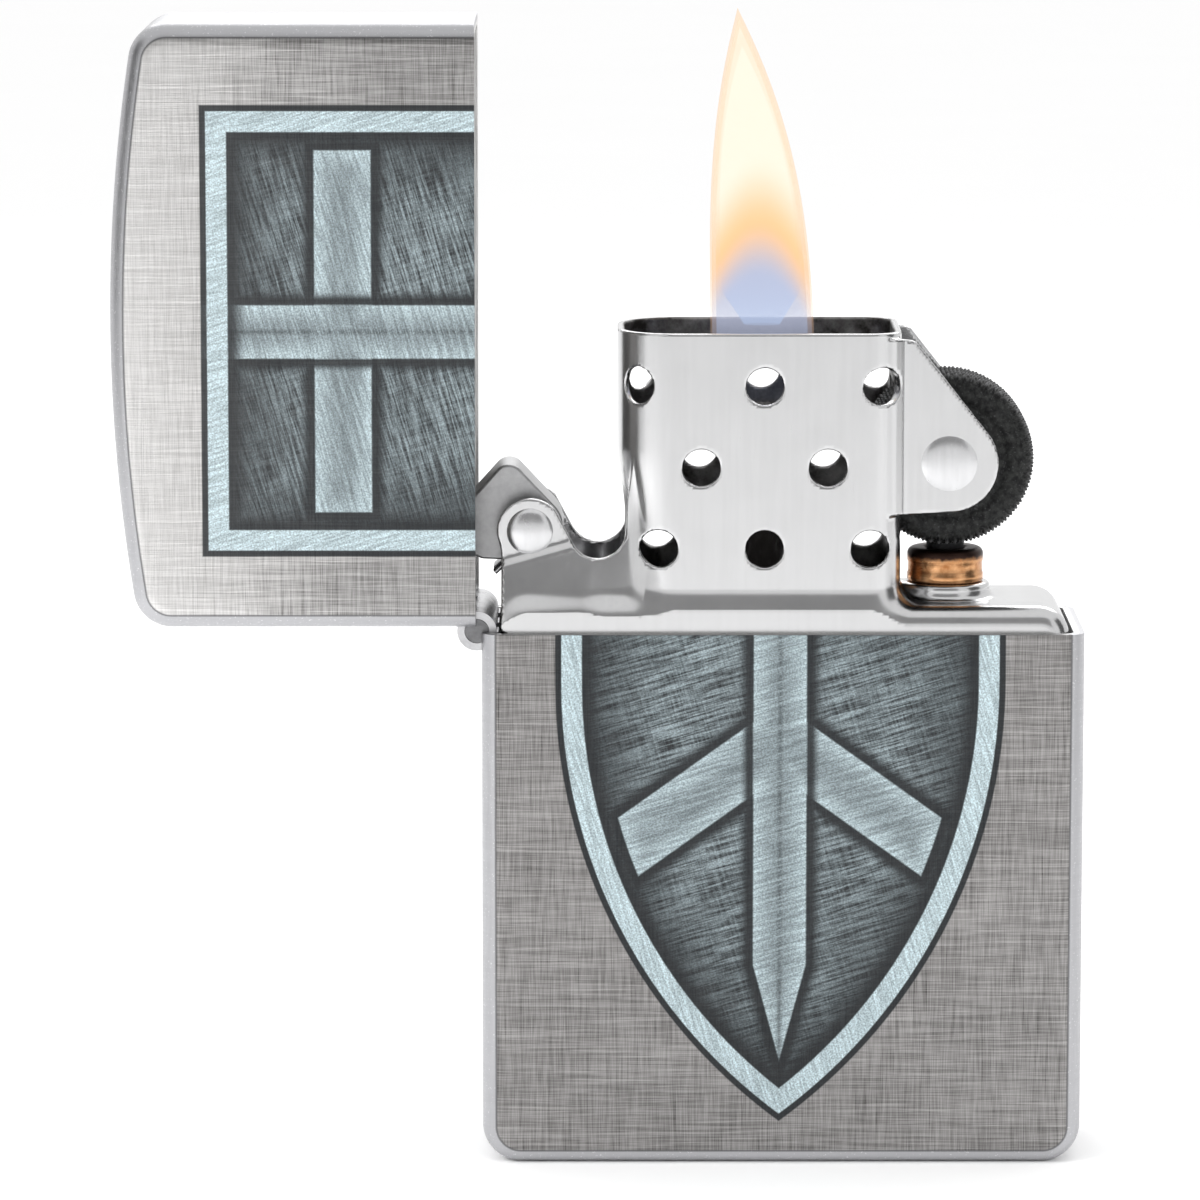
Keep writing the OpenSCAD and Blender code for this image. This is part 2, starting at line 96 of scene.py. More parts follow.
# The insert: its deck, and the windscreen, which is rounder on the hinge side
SHEET = 0.45
EAR_PROUD = 0.28
SCREEN_IN = 7.35
DECK_Z = RIM_Z + 1.6
SCREEN_TOP = TOP_HIGH[2]
INSERT_X0 = TOP_LOW[0] + EAR_PROUD
INSERT_X1 = BASE_HIGH[0] - WALL - 0.25
INSERT_HALF = CASE_D / 2 - WALL - 0.1
SCREEN_W = 17.9
SCREEN_X0 = INSERT_X0 + SCREEN_IN
SCREEN_X1 = SCREEN_X0 + SCREEN_W
SCREEN_HALF_D = 5.2
SCREEN_R_HINGE = 3.75
SCREEN_R_WHEEL = 2.0
WICK_X = (WICK_LOW[0] + WICK_HIGH[0]) / 2
WICK_R = (WICK_HIGH[0] - WICK_LOW[0]) / 2
TUBE_X = (TUBE_LOW[0] + TUBE_HIGH[0]) / 2


# ---- Meshes
def new_object(name, data):
    """Object in the scene that holds a mesh, a light or a camera."""
    obj = bpy.data.objects.new(name, data)
    bpy.context.scene.collection.objects.link(obj)
    return obj


def full_turn(n):
    """The angles of n points spread evenly round a circle."""
    return np.linspace(0, 2 * math.pi, n, endpoint=False)


def round_section(r, n):
    """Points round a circle of radius r."""
    return [(r * math.cos(a), r * math.sin(a)) for a in full_turn(n)]


def make_piece(name, verts, faces, smooth=True):
    """Mesh object from points in millimetres."""
    mesh = bpy.data.meshes.new(name)
    mesh.from_pydata([tuple(np.asarray(v, float) * MM) for v in verts], [], faces)
    mesh.validate()
    mesh.update()
    if smooth:
        mesh.polygons.foreach_set("use_smooth", [True] * len(mesh.polygons))
    return new_object(name, mesh)


def ring_faces(rings, around, wrap=False):
    """Quads from each ring of points to the next one, and from the last to the first if wrap."""
    faces = []
    for i in range(rings if wrap else rings - 1):
        low, high = i * around, (i + 1) % rings * around
        for k in range(around):
            k2 = (k + 1) % around
            faces.append((low + k, low + k2, high + k2, high + k))
    return faces


def end_faces(rings, around):
    """Flat faces that close the first and the last ring."""
    return [tuple(range(around))[::-1], tuple((rings - 1) * around + k for k in range(around))]


def add_values(obj, label, values):
    """One number for each point of a mesh, for its material to read."""
    layer = obj.data.attributes.new(label, "FLOAT", "POINT")
    layer.data.foreach_set("value", np.array(values, np.float32))


def outward(obj):
    """Turns every face of a closed mesh outwards."""
    bm = bmesh.new()
    bm.from_mesh(obj.data)
    bmesh.ops.remove_doubles(bm, verts=bm.verts, dist=1e-7)
    bmesh.ops.recalc_face_normals(bm, faces=bm.faces)
    bm.to_mesh(obj.data)
    bm.free()
    return obj


def apply_modifiers(obj):
    """Turns a piece's modifiers into plain mesh."""
    graph = bpy.context.evaluated_depsgraph_get()
    mesh = bpy.data.meshes.new_from_object(obj.evaluated_get(graph))
    obj.modifiers.clear()
    obj.data = mesh
    return obj


def soften(obj, width, segments, angle):
    """Small rounded edges, with normals that keep the flat faces flat."""
    bevel = obj.modifiers.new("edges", "BEVEL")
    bevel.width = width * MM
    bevel.segments = segments
    bevel.limit_method = "ANGLE"
    bevel.angle_limit = math.radians(angle)
    bevel.miter_outer = "MITER_ARC"
    weight = obj.modifiers.new("normals", "WEIGHTED_NORMAL")
    weight.mode = "FACE_AREA"
    weight.keep_sharp = True
    return apply_modifiers(obj)


def cut_with(obj, cutter):
    """Takes a cutter out of a piece and removes the cutter."""
    boolean = obj.modifiers.new("cut", "BOOLEAN")
    boolean.operation = "DIFFERENCE"
    boolean.solver = "EXACT"
    boolean.object = cutter
    apply_modifiers(obj)
    bpy.data.objects.remove(cutter)
    return obj


def box_piece(name, low, high):
    """Plain box, used only as a cutter."""
    x0, y0, z0 = low
    x1, y1, z1 = high
    verts = [(x, y, z) for x in (x0, x1) for y in (y0, y1) for z in (z0, z1)]
    faces = [(0, 1, 3, 2), (4, 6, 7, 5), (0, 4, 5, 1), (2, 3, 7, 6), (0, 2, 6, 4), (1, 5, 7, 3)]
    return make_piece(name, verts, faces, smooth=False)


def lathe(name, profile, steps, place, axis="Y"):
    """Turned piece. The profile is (radius, height) along the axis, and it is closed at radius 0."""
    verts = []
    rings = []
    for radius, height in profile:
        if radius <= 1e-6:
            rings.append([len(verts)] * steps)
            verts.append((0, 0, height))
        else:
            rings.append(list(range(len(verts), len(verts) + steps)))
            verts += [(u, v, height) for u, v in round_section(radius, steps)]
    faces = []
    for low, high in zip(rings, rings[1:]):
        for i in range(steps):
            j = (i + 1) % steps
            quad = [low[i], low[j], high[j], high[i]]
            face = [v for k, v in enumerate(quad) if v not in quad[:k]]
            if len(face) > 2:
                faces.append(face)
    if axis == "Y":
        verts = [(x, h, y) for x, y, h in verts]
    verts = [np.array(v) + np.array(place) for v in verts]
    return outward(make_piece(name, verts, faces))


def arc(cx, cy, r, a0, a1, n):
    """Points along an arc, from angle a0 to a1 in degrees."""
    return [(cx + r * math.cos(math.radians(a0 + (a1 - a0) * i / n)),
             cy + r * math.sin(math.radians(a0 + (a1 - a0) * i / n))) for i in range(n + 1)]


def hull_outline(circles, n=48):
    """Outline of a taut band round circles given as (x, z, r)."""
    points = sorted({(round(x + r * math.cos(a), 5), round(z + r * math.sin(a), 5))
                     for x, z, r in circles for a in full_turn(n)})
    half = []
    for run in (points, points[::-1]):
        chain = []
        for p in run:
            while len(chain) > 1 and ((chain[-1][0] - chain[-2][0]) * (p[1] - chain[-2][1])
                                      - (chain[-1][1] - chain[-2][1]) * (p[0] - chain[-2][0])) <= 0:
                chain.pop()
            chain.append(p)
        half += chain[:-1]
    return half


def plate(name, outline, y0, y1):
    """Flat plate with its outline in the XZ plane."""
    n = len(outline)
    verts = [(x, y0, z) for x, z in outline] + [(x, y1, z) for x, z in outline]
    faces = [tuple(range(n)), tuple(range(2 * n - 1, n - 1, -1))]
    faces += [(i, (i + 1) % n, n + (i + 1) % n, n + i) for i in range(n)]
    return outward(make_piece(name, verts, faces))


# ---- Distance fields, for stamped sheet whose walls blend into each other
def round_max(a, b, r):
    """Common part of two forms, with their edge rounded to r."""
    return np.minimum(np.maximum(a, b), -r) + np.hypot(np.maximum(a + r, 0), np.maximum(b + r, 0))


def round_min(a, b, r):
    """Both forms together, with a fillet of r in their corner."""
    return np.maximum(np.minimum(a, b), r) - np.hypot(np.maximum(r - a, 0), np.maximum(r - b, 0))


def smooth_step(low, high, value):
    """Eased rise from 0 at low to 1 at high."""
    t = np.clip((value - low) / (high - low), 0, 1)
    return t * t * (3 - 2 * t)


def bar_field(x, y, x0, x1, half, r0, r1):
    """Distance to a rectangle from x0 to x1 with corner radius r0 at its low end and r1 at its high end."""
    px = x - (x0 + x1) / 2
    r = np.where(px < 0, r0, r1)
    qx = np.abs(px) - (x1 - x0) / 2 + r
    qy = np.abs(y) - half + r
    return np.minimum(np.maximum(qx, qy), 0) + np.hypot(np.maximum(qx, 0), np.maximum(qy, 0)) - r


def polygon_field(x, z, outline):
    """Signed distance to a closed outline, negative inside."""
    best = np.full(np.shape(x), 1e9)
    sign = np.ones(np.shape(x))
    for (ax, az), (bx, bz) in zip(outline, outline[1:] + outline[:1]):
        ex, ez = bx - ax, bz - az
        wx, wz = x - ax, z - az
        t = np.clip((wx * ex + wz * ez) / (ex * ex + ez * ez), 0, 1)
        best = np.minimum(best, np.hypot(wx - ex * t, wz - ez * t))
        up, down, left = z >= az, z < bz, ex * wz > ez * wx
        flip = (up & down & left) | (~up & ~down & ~left)
        sign = np.where(flip, -sign, sign)
    return sign * best


def gradient(field, points, nudge):
    """Slope of a field at each point."""
    return np.stack([(field(*(points + nudge * e).T) - field(*(points - nudge * e).T)) / (2 * nudge)
                     for e in np.eye(3)], axis=1)


def crossing_points(values, cells):
    """The middle of the places where a cell's twelve edges cross the surface, in grid steps."""
    total = np.zeros((len(cells), 3))
    count = np.zeros(len(cells))
    for axis in range(3):
        u, v = [a for a in range(3) if a != axis]
        for i, j in ((0, 0), (0, 1), (1, 0), (1, 1)):
            start = cells.copy()
            start[:, u] += i
            start[:, v] += j
            end = start.copy()
            end[:, axis] += 1
            f0 = values[tuple(start.T)].astype(float)
            f1 = values[tuple(end.T)].astype(float)
            hit = (f0 < 0) != (f1 < 0)
            t = np.where(hit, f0 / np.where(hit, f0 - f1, 1), 0)
            point = start.astype(float)
            point[:, axis] += t
            total += np.where(hit[:, None], point, 0)
            count += hit
    return total / count[:, None]


def crossing_faces(inside, index):
    """A quad of cells round each grid edge that crosses the surface."""
    faces = []
    for axis in range(3):
        u, v = [a for a in range(3) if a != axis]
        first = [slice(None)] * 3
        second = [slice(None)] * 3
        first[axis], second[axis] = slice(None, -1), slice(1, None)
        a, b = inside[tuple(first)], inside[tuple(second)]
        edges = np.argwhere(a != b)
        edges = edges[(edges[:, u] > 0) & (edges[:, v] > 0)
                      & (edges[:, u] < index.shape[u]) & (edges[:, v] < index.shape[v])]
        quad = []
        for du, dv in ((-1, -1), (0, -1), (0, 0), (-1, 0)):
            cell = edges.copy()
            cell[:, u] += du
            cell[:, v] += dv
            quad.append(index[tuple(cell.T)])
        quad = np.stack(quad, axis=1)
        turned = a[tuple(edges.T)] != (axis == 1)
        quad[~turned] = quad[~turned][:, ::-1]
        faces.append(quad)
    faces = np.concatenate(faces)
    return faces[(faces >= 0).all(axis=1)]


def field_piece(name, field, low, high, step):
    """Mesh of the surface where a distance field is zero, one point to each cell that it crosses."""
    axes = [np.arange(a, b + step, step) for a, b in zip(low, high)]
    values = field(*np.meshgrid(*axes, indexing="ij")).astype(np.float32)
    inside = values < 0
    corners = sum(inside[i:i - 1 or None, j:j - 1 or None, k:k - 1 or None].astype(np.int8)
                  for i in (0, 1) for j in (0, 1) for k in (0, 1))
    cells = np.argwhere((corners > 0) & (corners < 8))
    index = np.full(corners.shape, -1, np.int64)
    index[tuple(cells.T)] = np.arange(len(cells))
    verts = crossing_points(values, cells) * step + np.array(low)
    # Each point is moved onto the surface, by a few short steps down the slope
    for _ in range(3):
        here = field(*verts.T)
        slope = gradient(field, verts, 0.15 * step)
        move = -here[:, None] * slope / np.maximum((slope ** 2).sum(1), 0.25)[:, None]
        length = np.linalg.norm(move, axis=1, keepdims=True)
        verts += move * np.minimum(1, 0.4 * step / np.maximum(length, 1e-9))
    obj = make_piece(name, verts, crossing_faces(inside, index).tolist())
    slope = gradient(field, verts, 0.02)
    slope /= np.maximum(np.linalg.norm(slope, axis=1, keepdims=True), 1e-9)
    obj.data.normals_split_custom_set_from_vertices(slope.tolist())
    return obj


# ---- Materials
class Material:
    """A node material on the Principled shader, with short calls for the nodes it is built from."""

    def __init__(self, name, **constants):
        self.material = bpy.data.materials.new(name)
        self.material.use_nodes = True
        self.tree = self.material.node_tree
        self.shader = self.tree.nodes["Principled BSDF"]
        for key, value in constants.items():
            self.set(key.replace("_", " "), value)

    def fill(self, socket, value):
        """Links another node's output to a socket, or sets the socket to a constant."""
        if isinstance(value, bpy.types.NodeSocket):
            self.tree.links.new(value, socket)
        elif socket.type == "RGBA":
            socket.default_value = (*value, 1)
        else:
            socket.default_value = value

    def set(self, socket, value):
        self.fill(self.shader.inputs[socket], value)

    def node(self, kind, inputs=(), **settings):
        node = self.tree.nodes.new(kind)
        for key, value in settings.items():
            setattr(node, key, value)
        for key, value in dict(inputs).items():
            self.fill(node.inputs[key], value)
        return node

    def math(self, operation, a, b=0.0, c=None, clamp=False):
        inputs = {0: a, 1: b}
        if c is not None:
            inputs[2] = c
        return self.node("ShaderNodeMath", inputs, operation=operation, use_clamp=clamp).outputs[0]

    def mul(self, a, b):
        return self.math("MULTIPLY", a, b)

    def add(self, *values):
        total = values[0]
        for value in values[1:]:
            total = self.math("ADD", total, value)
        return total

    def sub(self, a, b):
        return self.math("SUBTRACT", a, b)

    def least(self, a, b):
        return self.math("MINIMUM", a, b)

    def most(self, *values):
        most = values[0]
        for value in values[1:]:
            most = self.math("MAXIMUM", most, value)
        return most

    def point_value(self, label):
        """The number that add_values gave each point."""
        return self.node("ShaderNodeAttribute", attribute_name=label).outputs["Fac"]

    def place(self):
        """The point on the object, in millimetres."""
        point = self.node("ShaderNodeTexCoord").outputs["Object"]
        return self.node("ShaderNodeVectorMath", {0: point, 1: (1000, 1000, 1000)},
                         operation="MULTIPLY").outputs[0]

    def split(self, vector):
        return self.node("ShaderNodeSeparateXYZ", {0: vector}).outputs

    def join(self, x, y, z):
        return self.node("ShaderNodeCombineXYZ", {0: x, 1: y, 2: z}).outputs[0]

    def scaled(self, vector, scale, shift=(0, 0, 0)):
        return self.node("ShaderNodeVectorMath", {0: vector, 1: scale, 2: shift},
                         operation="MULTIPLY_ADD").outputs[0]

    def noise(self, vector, scale=1.0, detail=3.0, rough=0.55):
        return self.node("ShaderNodeTexNoise", {"Vector": vector, "Scale": scale, "Detail": detail,
                                                "Roughness": rough}).outputs["Fac"]

    def remap(self, value, a, b, c=0.0, d=1.0, smooth=False):
        return self.node("ShaderNodeMapRange", {0: value, 1: a, 2: b, 3: c, 4: d},
                         interpolation_type="SMOOTHSTEP" if smooth else "LINEAR").outputs[0]

    def mix(self, factor, a, b, blend="MIX"):
        """Mix of two colours, by a factor from 0 to 1."""
        return self.node("ShaderNodeMix", {0: factor, 6: a, 7: b},
                         data_type="RGBA", blend_type=blend).outputs[2]

    def bump(self, height, strength=0.3, distance=0.05):
        inputs = {"Strength": strength, "Distance": distance * MM, "Height": height}
        self.set("Normal", self.node("ShaderNodeBump", inputs).outputs[0])


def give(obj, material):
    """Gives a piece its material."""
    obj.data.materials.clear()
    obj.data.materials.append(material.material)


def streaks(m, point, along, across, low, high, seed):
    """Brush marks: long in one direction and fine in the other, as a value from 0 to 1."""
    value = m.noise(m.scaled(point, (1 / along[0], 1 / along[1], 1 / along[2]), (seed, seed * 2, 0)),
                    detail=across, rough=0.6)
    return m.remap(value, low, high)


SHIELD = {"x": -0.2, "half": 14.2, "shoulder": 31.0, "r": 35.0, "top": 51.4, "foot": 6.0,
          "pale": 1.9, "chevron": 27.5, "bar": 42.5}
CHARGE_INSET = 2.6
CHEVRON_HALF = 2.6
CHEVRON_FALL = 0.72
BAR_HALF = 2.0


def brushed_steel(m, point, up, lid):
    """Crossed brush marks, with painted light on the lid. Returns the colour, and the four sets of marks for
    roughness and relief.
    """
    x, _, z = m.split(point)
    level = m.join(x, 0.0, z)
    fine_h = streaks(m, level, (3.2, 1, 0.075), 2.0, 0.38, 0.66, 1.7)
    fine_v = streaks(m, level, (0.075, 1, 2.6), 2.0, 0.38, 0.66, 5.1)
    long_h = streaks(m, level, (9.0, 1, 0.16), 3.0, 0.5, 0.7, 9.3)
    long_v = streaks(m, level, (0.15, 1, 8.0), 3.0, 0.52, 0.72, 13.9)
    cloud = m.noise(level, 0.16, 2.0)
    weave = m.add(m.mul(fine_h, 0.5), m.mul(fine_v, -0.42), m.mul(long_h, 0.34), m.mul(long_v, -0.3))
    tone = m.remap(m.add(weave, m.mul(cloud, 0.3)), -0.45, 0.75)
    if lid:
        # Painted light: the lid's steel is a lighter copy of the base's steel, with a painted highlight
        # towards its crown and painted shade at its rim
        steel = m.mix(tone, (0.17, 0.164, 0.16), (0.72, 0.708, 0.7))
        rim_painted_shade = m.remap(up, RIM_Z + 4, RIM_Z + 17, 0.35, 0.0, smooth=True)
        crown_painted_highlight = m.remap(up, RIM_Z + 11, RIM_Z + 22, 0.0, 0.5, smooth=True)
        steel = m.mix(rim_painted_shade, steel, (0.09, 0.086, 0.084))
        steel = m.mix(crown_painted_highlight, steel, (0.8, 0.79, 0.78))
    else:
        steel = m.mix(tone, (0.09, 0.0855, 0.083), (0.41, 0.398, 0.392))
    return steel, (fine_h, fine_v, long_h, long_v), cloud


def shield_print(m, point, flat, across, up):
    """A plain shield with a pale, a bar and a chevron. Returns its colour and where it is printed."""
    # Distance inside the shield's outline, in millimetres
    side = m.math("ABSOLUTE", m.sub(across, SHIELD["x"]))
    below = m.least(m.sub(up, SHIELD["shoulder"]), 0.0)
    from_centre = m.join(m.add(side, SHIELD["r"] - SHIELD["half"]), 0.0, below)
    flank = m.node("ShaderNodeVectorMath", {0: from_centre}, operation="LENGTH").outputs[1]
    depth = m.least(m.sub(SHIELD["r"], flank), m.sub(SHIELD["top"], up))
    on_front = m.math("LESS_THAN", m.split(point)[1], -CASE_D / 2 + 0.05)
    printed = m.mul(m.remap(depth, -0.04, 0.04), on_front)

    rim_line = m.remap(depth, 0.42, 0.34)
    bevel = m.mul(m.remap(depth, 0.34, 0.42), m.remap(depth, 1.75, 1.65))
    groove = m.mul(m.remap(depth, 1.65, 1.75), m.remap(depth, 3.1, 1.9, smooth=True))
    hatch_point = m.node("ShaderNodeVectorRotate", {"Vector": flat, "Angle": math.radians(17)},
                         rotation_type="Y_AXIS").outputs[0]
    hatch = m.remap(m.noise(m.scaled(hatch_point, (0.28, 1, 5.6)), 1.0, 4.0, 0.7), 0.42, 0.6)
    hatch_up = m.remap(m.noise(m.scaled(hatch_point, (5.0, 1, 0.3), (7, 0, 3)), 1.0, 3.0, 0.7), 0.4, 0.62)
    shade = m.mul(m.remap(depth, 1.8, 7.5, 0.25, 1.0, smooth=True),
                  m.remap(m.noise(flat, 0.22, 2.0), 0.35, 0.65, 0.7, 1.0))
    field = m.mul(m.add(m.mul(hatch, 0.75), m.mul(hatch_up, 0.25)), shade)

    # Charge: a pale with a point at its foot, over a chevron and a bar
    foot = m.remap(up, SHIELD["foot"], SHIELD["foot"] + 7.0, 0.0, SHIELD["pale"])
    pale = m.sub(foot, side)
    slope = m.math("ABSOLUTE", m.sub(m.add(up, m.mul(side, CHEVRON_FALL)), SHIELD["chevron"]))
    room = m.sub(depth, CHARGE_INSET)
    chevron = m.least(m.mul(m.sub(CHEVRON_HALF, slope), 0.81), room)
    bar = m.least(m.sub(BAR_HALF, m.math("ABSOLUTE", m.sub(up, SHIELD["bar"]))), room)
    charge = m.most(chevron, bar, pale)
    within = m.remap(depth, 1.7, 1.8)
    outline = m.mul(m.remap(charge, -0.9, -0.1, smooth=True), m.remap(charge, 0.28, 0.16))
    seam = m.mul(m.remap(pale, -0.7, -0.1, smooth=True), m.remap(pale, 0.26, 0.14))
    crest = m.mul(m.remap(charge, 0.14, 0.26), m.remap(charge, 0.2, 1.5, 1.0, 0.55))
    ridge = m.remap(side, 0.0, 0.25, 0.45, 1.0)
    lit = m.mul(crest, m.add(m.mul(hatch, 0.45), 0.55))
    lit = m.mul(lit, m.most(ridge, m.math("LESS_THAN", pale, 0.0)))
    light = m.most(m.mul(field, 0.62), m.mul(lit, 0.95), m.mul(bevel, m.remap(hatch_up, 0, 1, 0.62, 1.0)))
    dark = m.most(rim_line, groove, m.mul(outline, within), m.mul(seam, within))
    light = m.math("MULTIPLY", light, m.sub(1.0, m.mul(dark, 0.96)), clamp=True)
    ink = m.mix(light, (0.006, 0.009, 0.012), (0.56, 0.68, 0.72))
    grain = m.remap(m.noise(point, 9.0, 1.0), 0.35, 0.65, 0.7, 1.25)
    grey = m.node("ShaderNodeCombineColor", {0: grain, 1: grain, 2: grain}).outputs[0]
    return m.mix(1.0, ink, grey, "MULTIPLY"), printed


def case_material(name, lid):
    """Cross-brushed steel with a plain rounded border edged by a painted shade line, painted light on the
    lid's steel, and a dark printed shield across lid and base.
    """
    m = Material(name, Metallic=1.0)
    point = m.place()
    x, _, z = m.split(point)
    if lid:
        # The place on the shut lid, since the lid is drawn open
        across = m.add(z, HINGE[0] - HINGE[2])
        up = m.sub(HINGE[2] + HINGE[0], x)
    else:
        across, up = x, z
    flat = m.join(across, 0.0, up)
    steel, marks, cloud = brushed_steel(m, point, up, lid)
    fine_h, fine_v, long_h, long_v = marks

    # Plain border: the rounded part of the sheet. Where the brushing stops, at the turn from the flat face
    # into the rounded edge, a fine dark line of painted shade is laid into the colour
    facing = m.point_value("facing")
    brushed = m.remap(facing, 0.925, 0.94)
    line = m.mul(m.remap(facing, 0.895, 0.925), m.remap(facing, 0.955, 0.93))
    speck = m.remap(m.noise(point, 7.0, 1.0), 0.66, 0.74)
    border = m.mix(speck, (0.46, 0.46, 0.475), (0.66, 0.66, 0.67))
    colour = m.mix(brushed, border, steel)
    colour = m.mix(m.mul(line, 0.7), colour, (0.05, 0.05, 0.052))
    plain = m.mix(m.remap(m.add(fine_v, cloud), 0.3, 1.3), (0.62, 0.615, 0.61), (0.8, 0.8, 0.795))
    colour = m.mix(m.remap(m.point_value("inner"), 0.4, 0.6), colour, plain)
    ink, printed = shield_print(m, point, flat, across, up)

    m.set("Base Color", m.mix(m.mul(printed, 0.93), colour, ink))
    m.set("Roughness", m.add(m.mul(fine_h, 0.1), m.mul(fine_v, 0.08), 0.32, m.mul(printed, 0.12)))
    relief = m.mul(m.add(m.sub(fine_h, fine_v), m.sub(long_h, long_v)), brushed)
    m.bump(m.add(relief, m.mul(printed, 0.6)), 0.22, 0.02)
    m.set("Metallic", m.sub(1.0, m.mul(printed, 0.45)))
    return m


def bright_sheet(name, colour, rough, streak=0.3, bump=0.05, sooted=False):
    """Bright pressed steel with faint draw marks, soft clouding and fine scratches."""
    m = Material(name, Metallic=1.0)
    point = m.place()
    draw = streaks(m, point, (0.35, 0.35, 6.0), 3.0, 0.3, 0.7, 2.3)
    cloud = m.noise(point, 0.45, 3.0)
    scratch = m.remap(m.noise(m.scaled(point, (6.0, 6.0, 0.5)), 1.0, 5.0, 0.75), 0.64, 0.7)
    tone = m.add(m.mul(draw, streak), m.mul(cloud, 0.4))
    dark = tuple(c * 0.84 for c in colour)
    shown = m.mix(m.remap(tone, 0.1, 0.7), dark, colour)
    sheen = m.add(m.mul(m.add(cloud, m.mul(scratch, 0.5)), 0.12), rough)
    if sooted:
        soot_here = m.point_value("soot")
        patchy = m.mul(soot_here, m.remap(m.noise(point, 0.5, 4.0, 0.7), 0.3, 0.65, 0.55, 1.0))
        shown = m.mix(patchy, shown, (0.035, 0.032, 0.03))
        sheen = m.add(sheen, m.mul(patchy, 0.3))
    m.set("Base Color", shown)
    m.set("Roughness", sheen)
    m.bump(m.add(cloud, m.mul(scratch, -0.3)), bump, 0.05)
    return m


def wheel_material():
    """Black oxide steel: matt, mottled, with metal rubbed bright on the teeth."""
    m = Material("wheel_steel", Metallic=0.3)
    m.shader.inputs["Specular IOR Level"].default_value = 0.2
    point = m.place()
    mottle = m.noise(point, 2.2, 5.0, 0.7)
    fleck = m.remap(m.noise(point, 6.5, 2.0), 0.6, 0.72)
    worn = m.point_value("worn")
    colour = m.mix(m.remap(mottle, 0.38, 0.62), (0.004, 0.004, 0.0045), (0.03, 0.031, 0.03))
    colour = m.mix(m.mul(fleck, 0.5), colour, (0.09, 0.09, 0.094))
    colour = m.mix(m.mul(worn, m.remap(mottle, 0.35, 0.6)), colour, (0.12, 0.12, 0.125))
    m.set("Base Color", colour)
    m.set("Roughness", m.remap(mottle, 0.3, 0.7, 0.42, 0.6))
    m.bump(mottle, 0.35, 0.05)
    return m


def bronze_material():
    """Bronze flint tube, bright on its side and burnt dark on its lip."""
    m = Material("tube_brass", Metallic=1.0)
    point = m.place()
    z = m.split(point)[2]
    turn = m.noise(m.scaled(point, (0.3, 0.3, 9.0)), 1.0, 3.0)
    blotch = m.noise(point, 1.3, 4.0, 0.65)
    burnt = m.remap(m.add(z, m.mul(blotch, 0.7)), TUBE_HIGH[2] - 0.45, TUBE_HIGH[2] - 0.1,
                    smooth=True)
    colour = m.mix(m.remap(blotch, 0.3, 0.7), (0.36, 0.15, 0.055), (0.78, 0.44, 0.22))
    colour = m.mix(m.mul(m.remap(turn, 0.55, 0.7), 0.4), colour, (0.2, 0.075, 0.03))
    m.set("Base Color", m.mix(burnt, colour, (0.035, 0.02, 0.016)))
    m.set("Roughness", m.remap(burnt, 0, 1, 0.26, 0.4))
    m.bump(m.add(turn, blotch), 0.15, 0.04)
    return m


def fibre_material(name, low, high, scale, char_from=None):
    """Cotton, wadding or felt, with loose fibre, and charred black above char_from."""
    m = Material(name)
    point = m.place()
    fibre = m.noise(m.scaled(point, (scale, scale, scale * 0.4)), 1.0, 6.0, 0.75)
    tuft = m.noise(point, scale * 0.3, 3.0)
    colour = m.mix(m.remap(m.mul(m.add(fibre, tuft), 0.5), 0.35, 0.65), low, high)
    if char_from is not None:
        z = m.split(point)[2]
        char = m.remap(m.add(z, m.mul(tuft, 3.0)), char_from, char_from + 2.4, smooth=True)
        colour = m.mix(char, colour, (0.03, 0.026, 0.024))
    m.set("Base Color", colour)
    m.set("Roughness", 0.92)
    m.shader.inputs["Sheen Weight"].default_value = 0.3
    m.bump(m.add(fibre, tuft), 0.8, 0.15)
    return m


def dull_metal(name, low, high, rough):
    """Plain metal with fine wear and clouding."""
    m = Material(name, Metallic=1.0)
    point = m.place()
    cloud = m.noise(point, 0.9, 4.0, 0.65)
    scratch = m.remap(m.noise(m.scaled(point, (1.2, 9.0, 3.0)), 1.0, 5.0, 0.75), 0.6, 0.7)
    wear = m.math("ADD", m.remap(cloud, 0.3, 0.7), m.mul(scratch, 0.3), clamp=True)
    m.set("Base Color", m.mix(wear, low, high))
    m.set("Roughness", m.remap(cloud, 0.3, 0.7, rough - 0.06, rough + 0.08))
    m.bump(m.add(cloud, scratch), 0.15, 0.04)
    return m


# ---- Case: two drawn shells
def base_path():
    """Outline of the base from rim to rim, as points with outward normals."""
    half = CASE_W / 2
    path = [(-half, RIM_Z, -1, 0), (-half, CORNER_R + 0.01, -1, 0)]
    for side, a0, a1 in ((-1, 180, 270), (1, 270, 360)):
        for a in np.radians(np.linspace(a0, a1, 15)):
            path.append((side * (half - CORNER_R) + CORNER_R * math.cos(a), CORNER_R + CORNER_R * math.sin(a),
                         math.cos(a), math.sin(a)))
    return path + [(half, CORNER_R + 0.01, 1, 0), (half, RIM_Z, 1, 0)]


def lid_path():
    """Outline of the closed lid from rim to rim."""
    half = CASE_W / 2
    ring = CROWN_R - CORNER_R
    swing = math.asin((half - CORNER_R) / ring)
    middle = LID_RIM + LID_H - CROWN_R
    path = [(-half, LID_RIM, -1, 0)]
    cx, cz = half - CORNER_R, middle + ring * math.cos(swing)
    for a in np.linspace(math.pi, math.pi / 2 + swing, 15):
        path.append((-cx + CORNER_R * math.cos(a), cz + CORNER_R * math.sin(a), math.cos(a), math.sin(a)))
    for a in np.linspace(-swing, swing, 41)[1:-1]:
        path.append((CROWN_R * math.sin(a), middle + CROWN_R * math.cos(a), math.sin(a), math.cos(a)))
    for a in np.linspace(math.pi / 2 - swing, 0, 15):
        path.append((cx + CORNER_R * math.cos(a), cz + CORNER_R * math.sin(a), math.cos(a), math.sin(a)))
    return path + [(half, LID_RIM, 1, 0)]


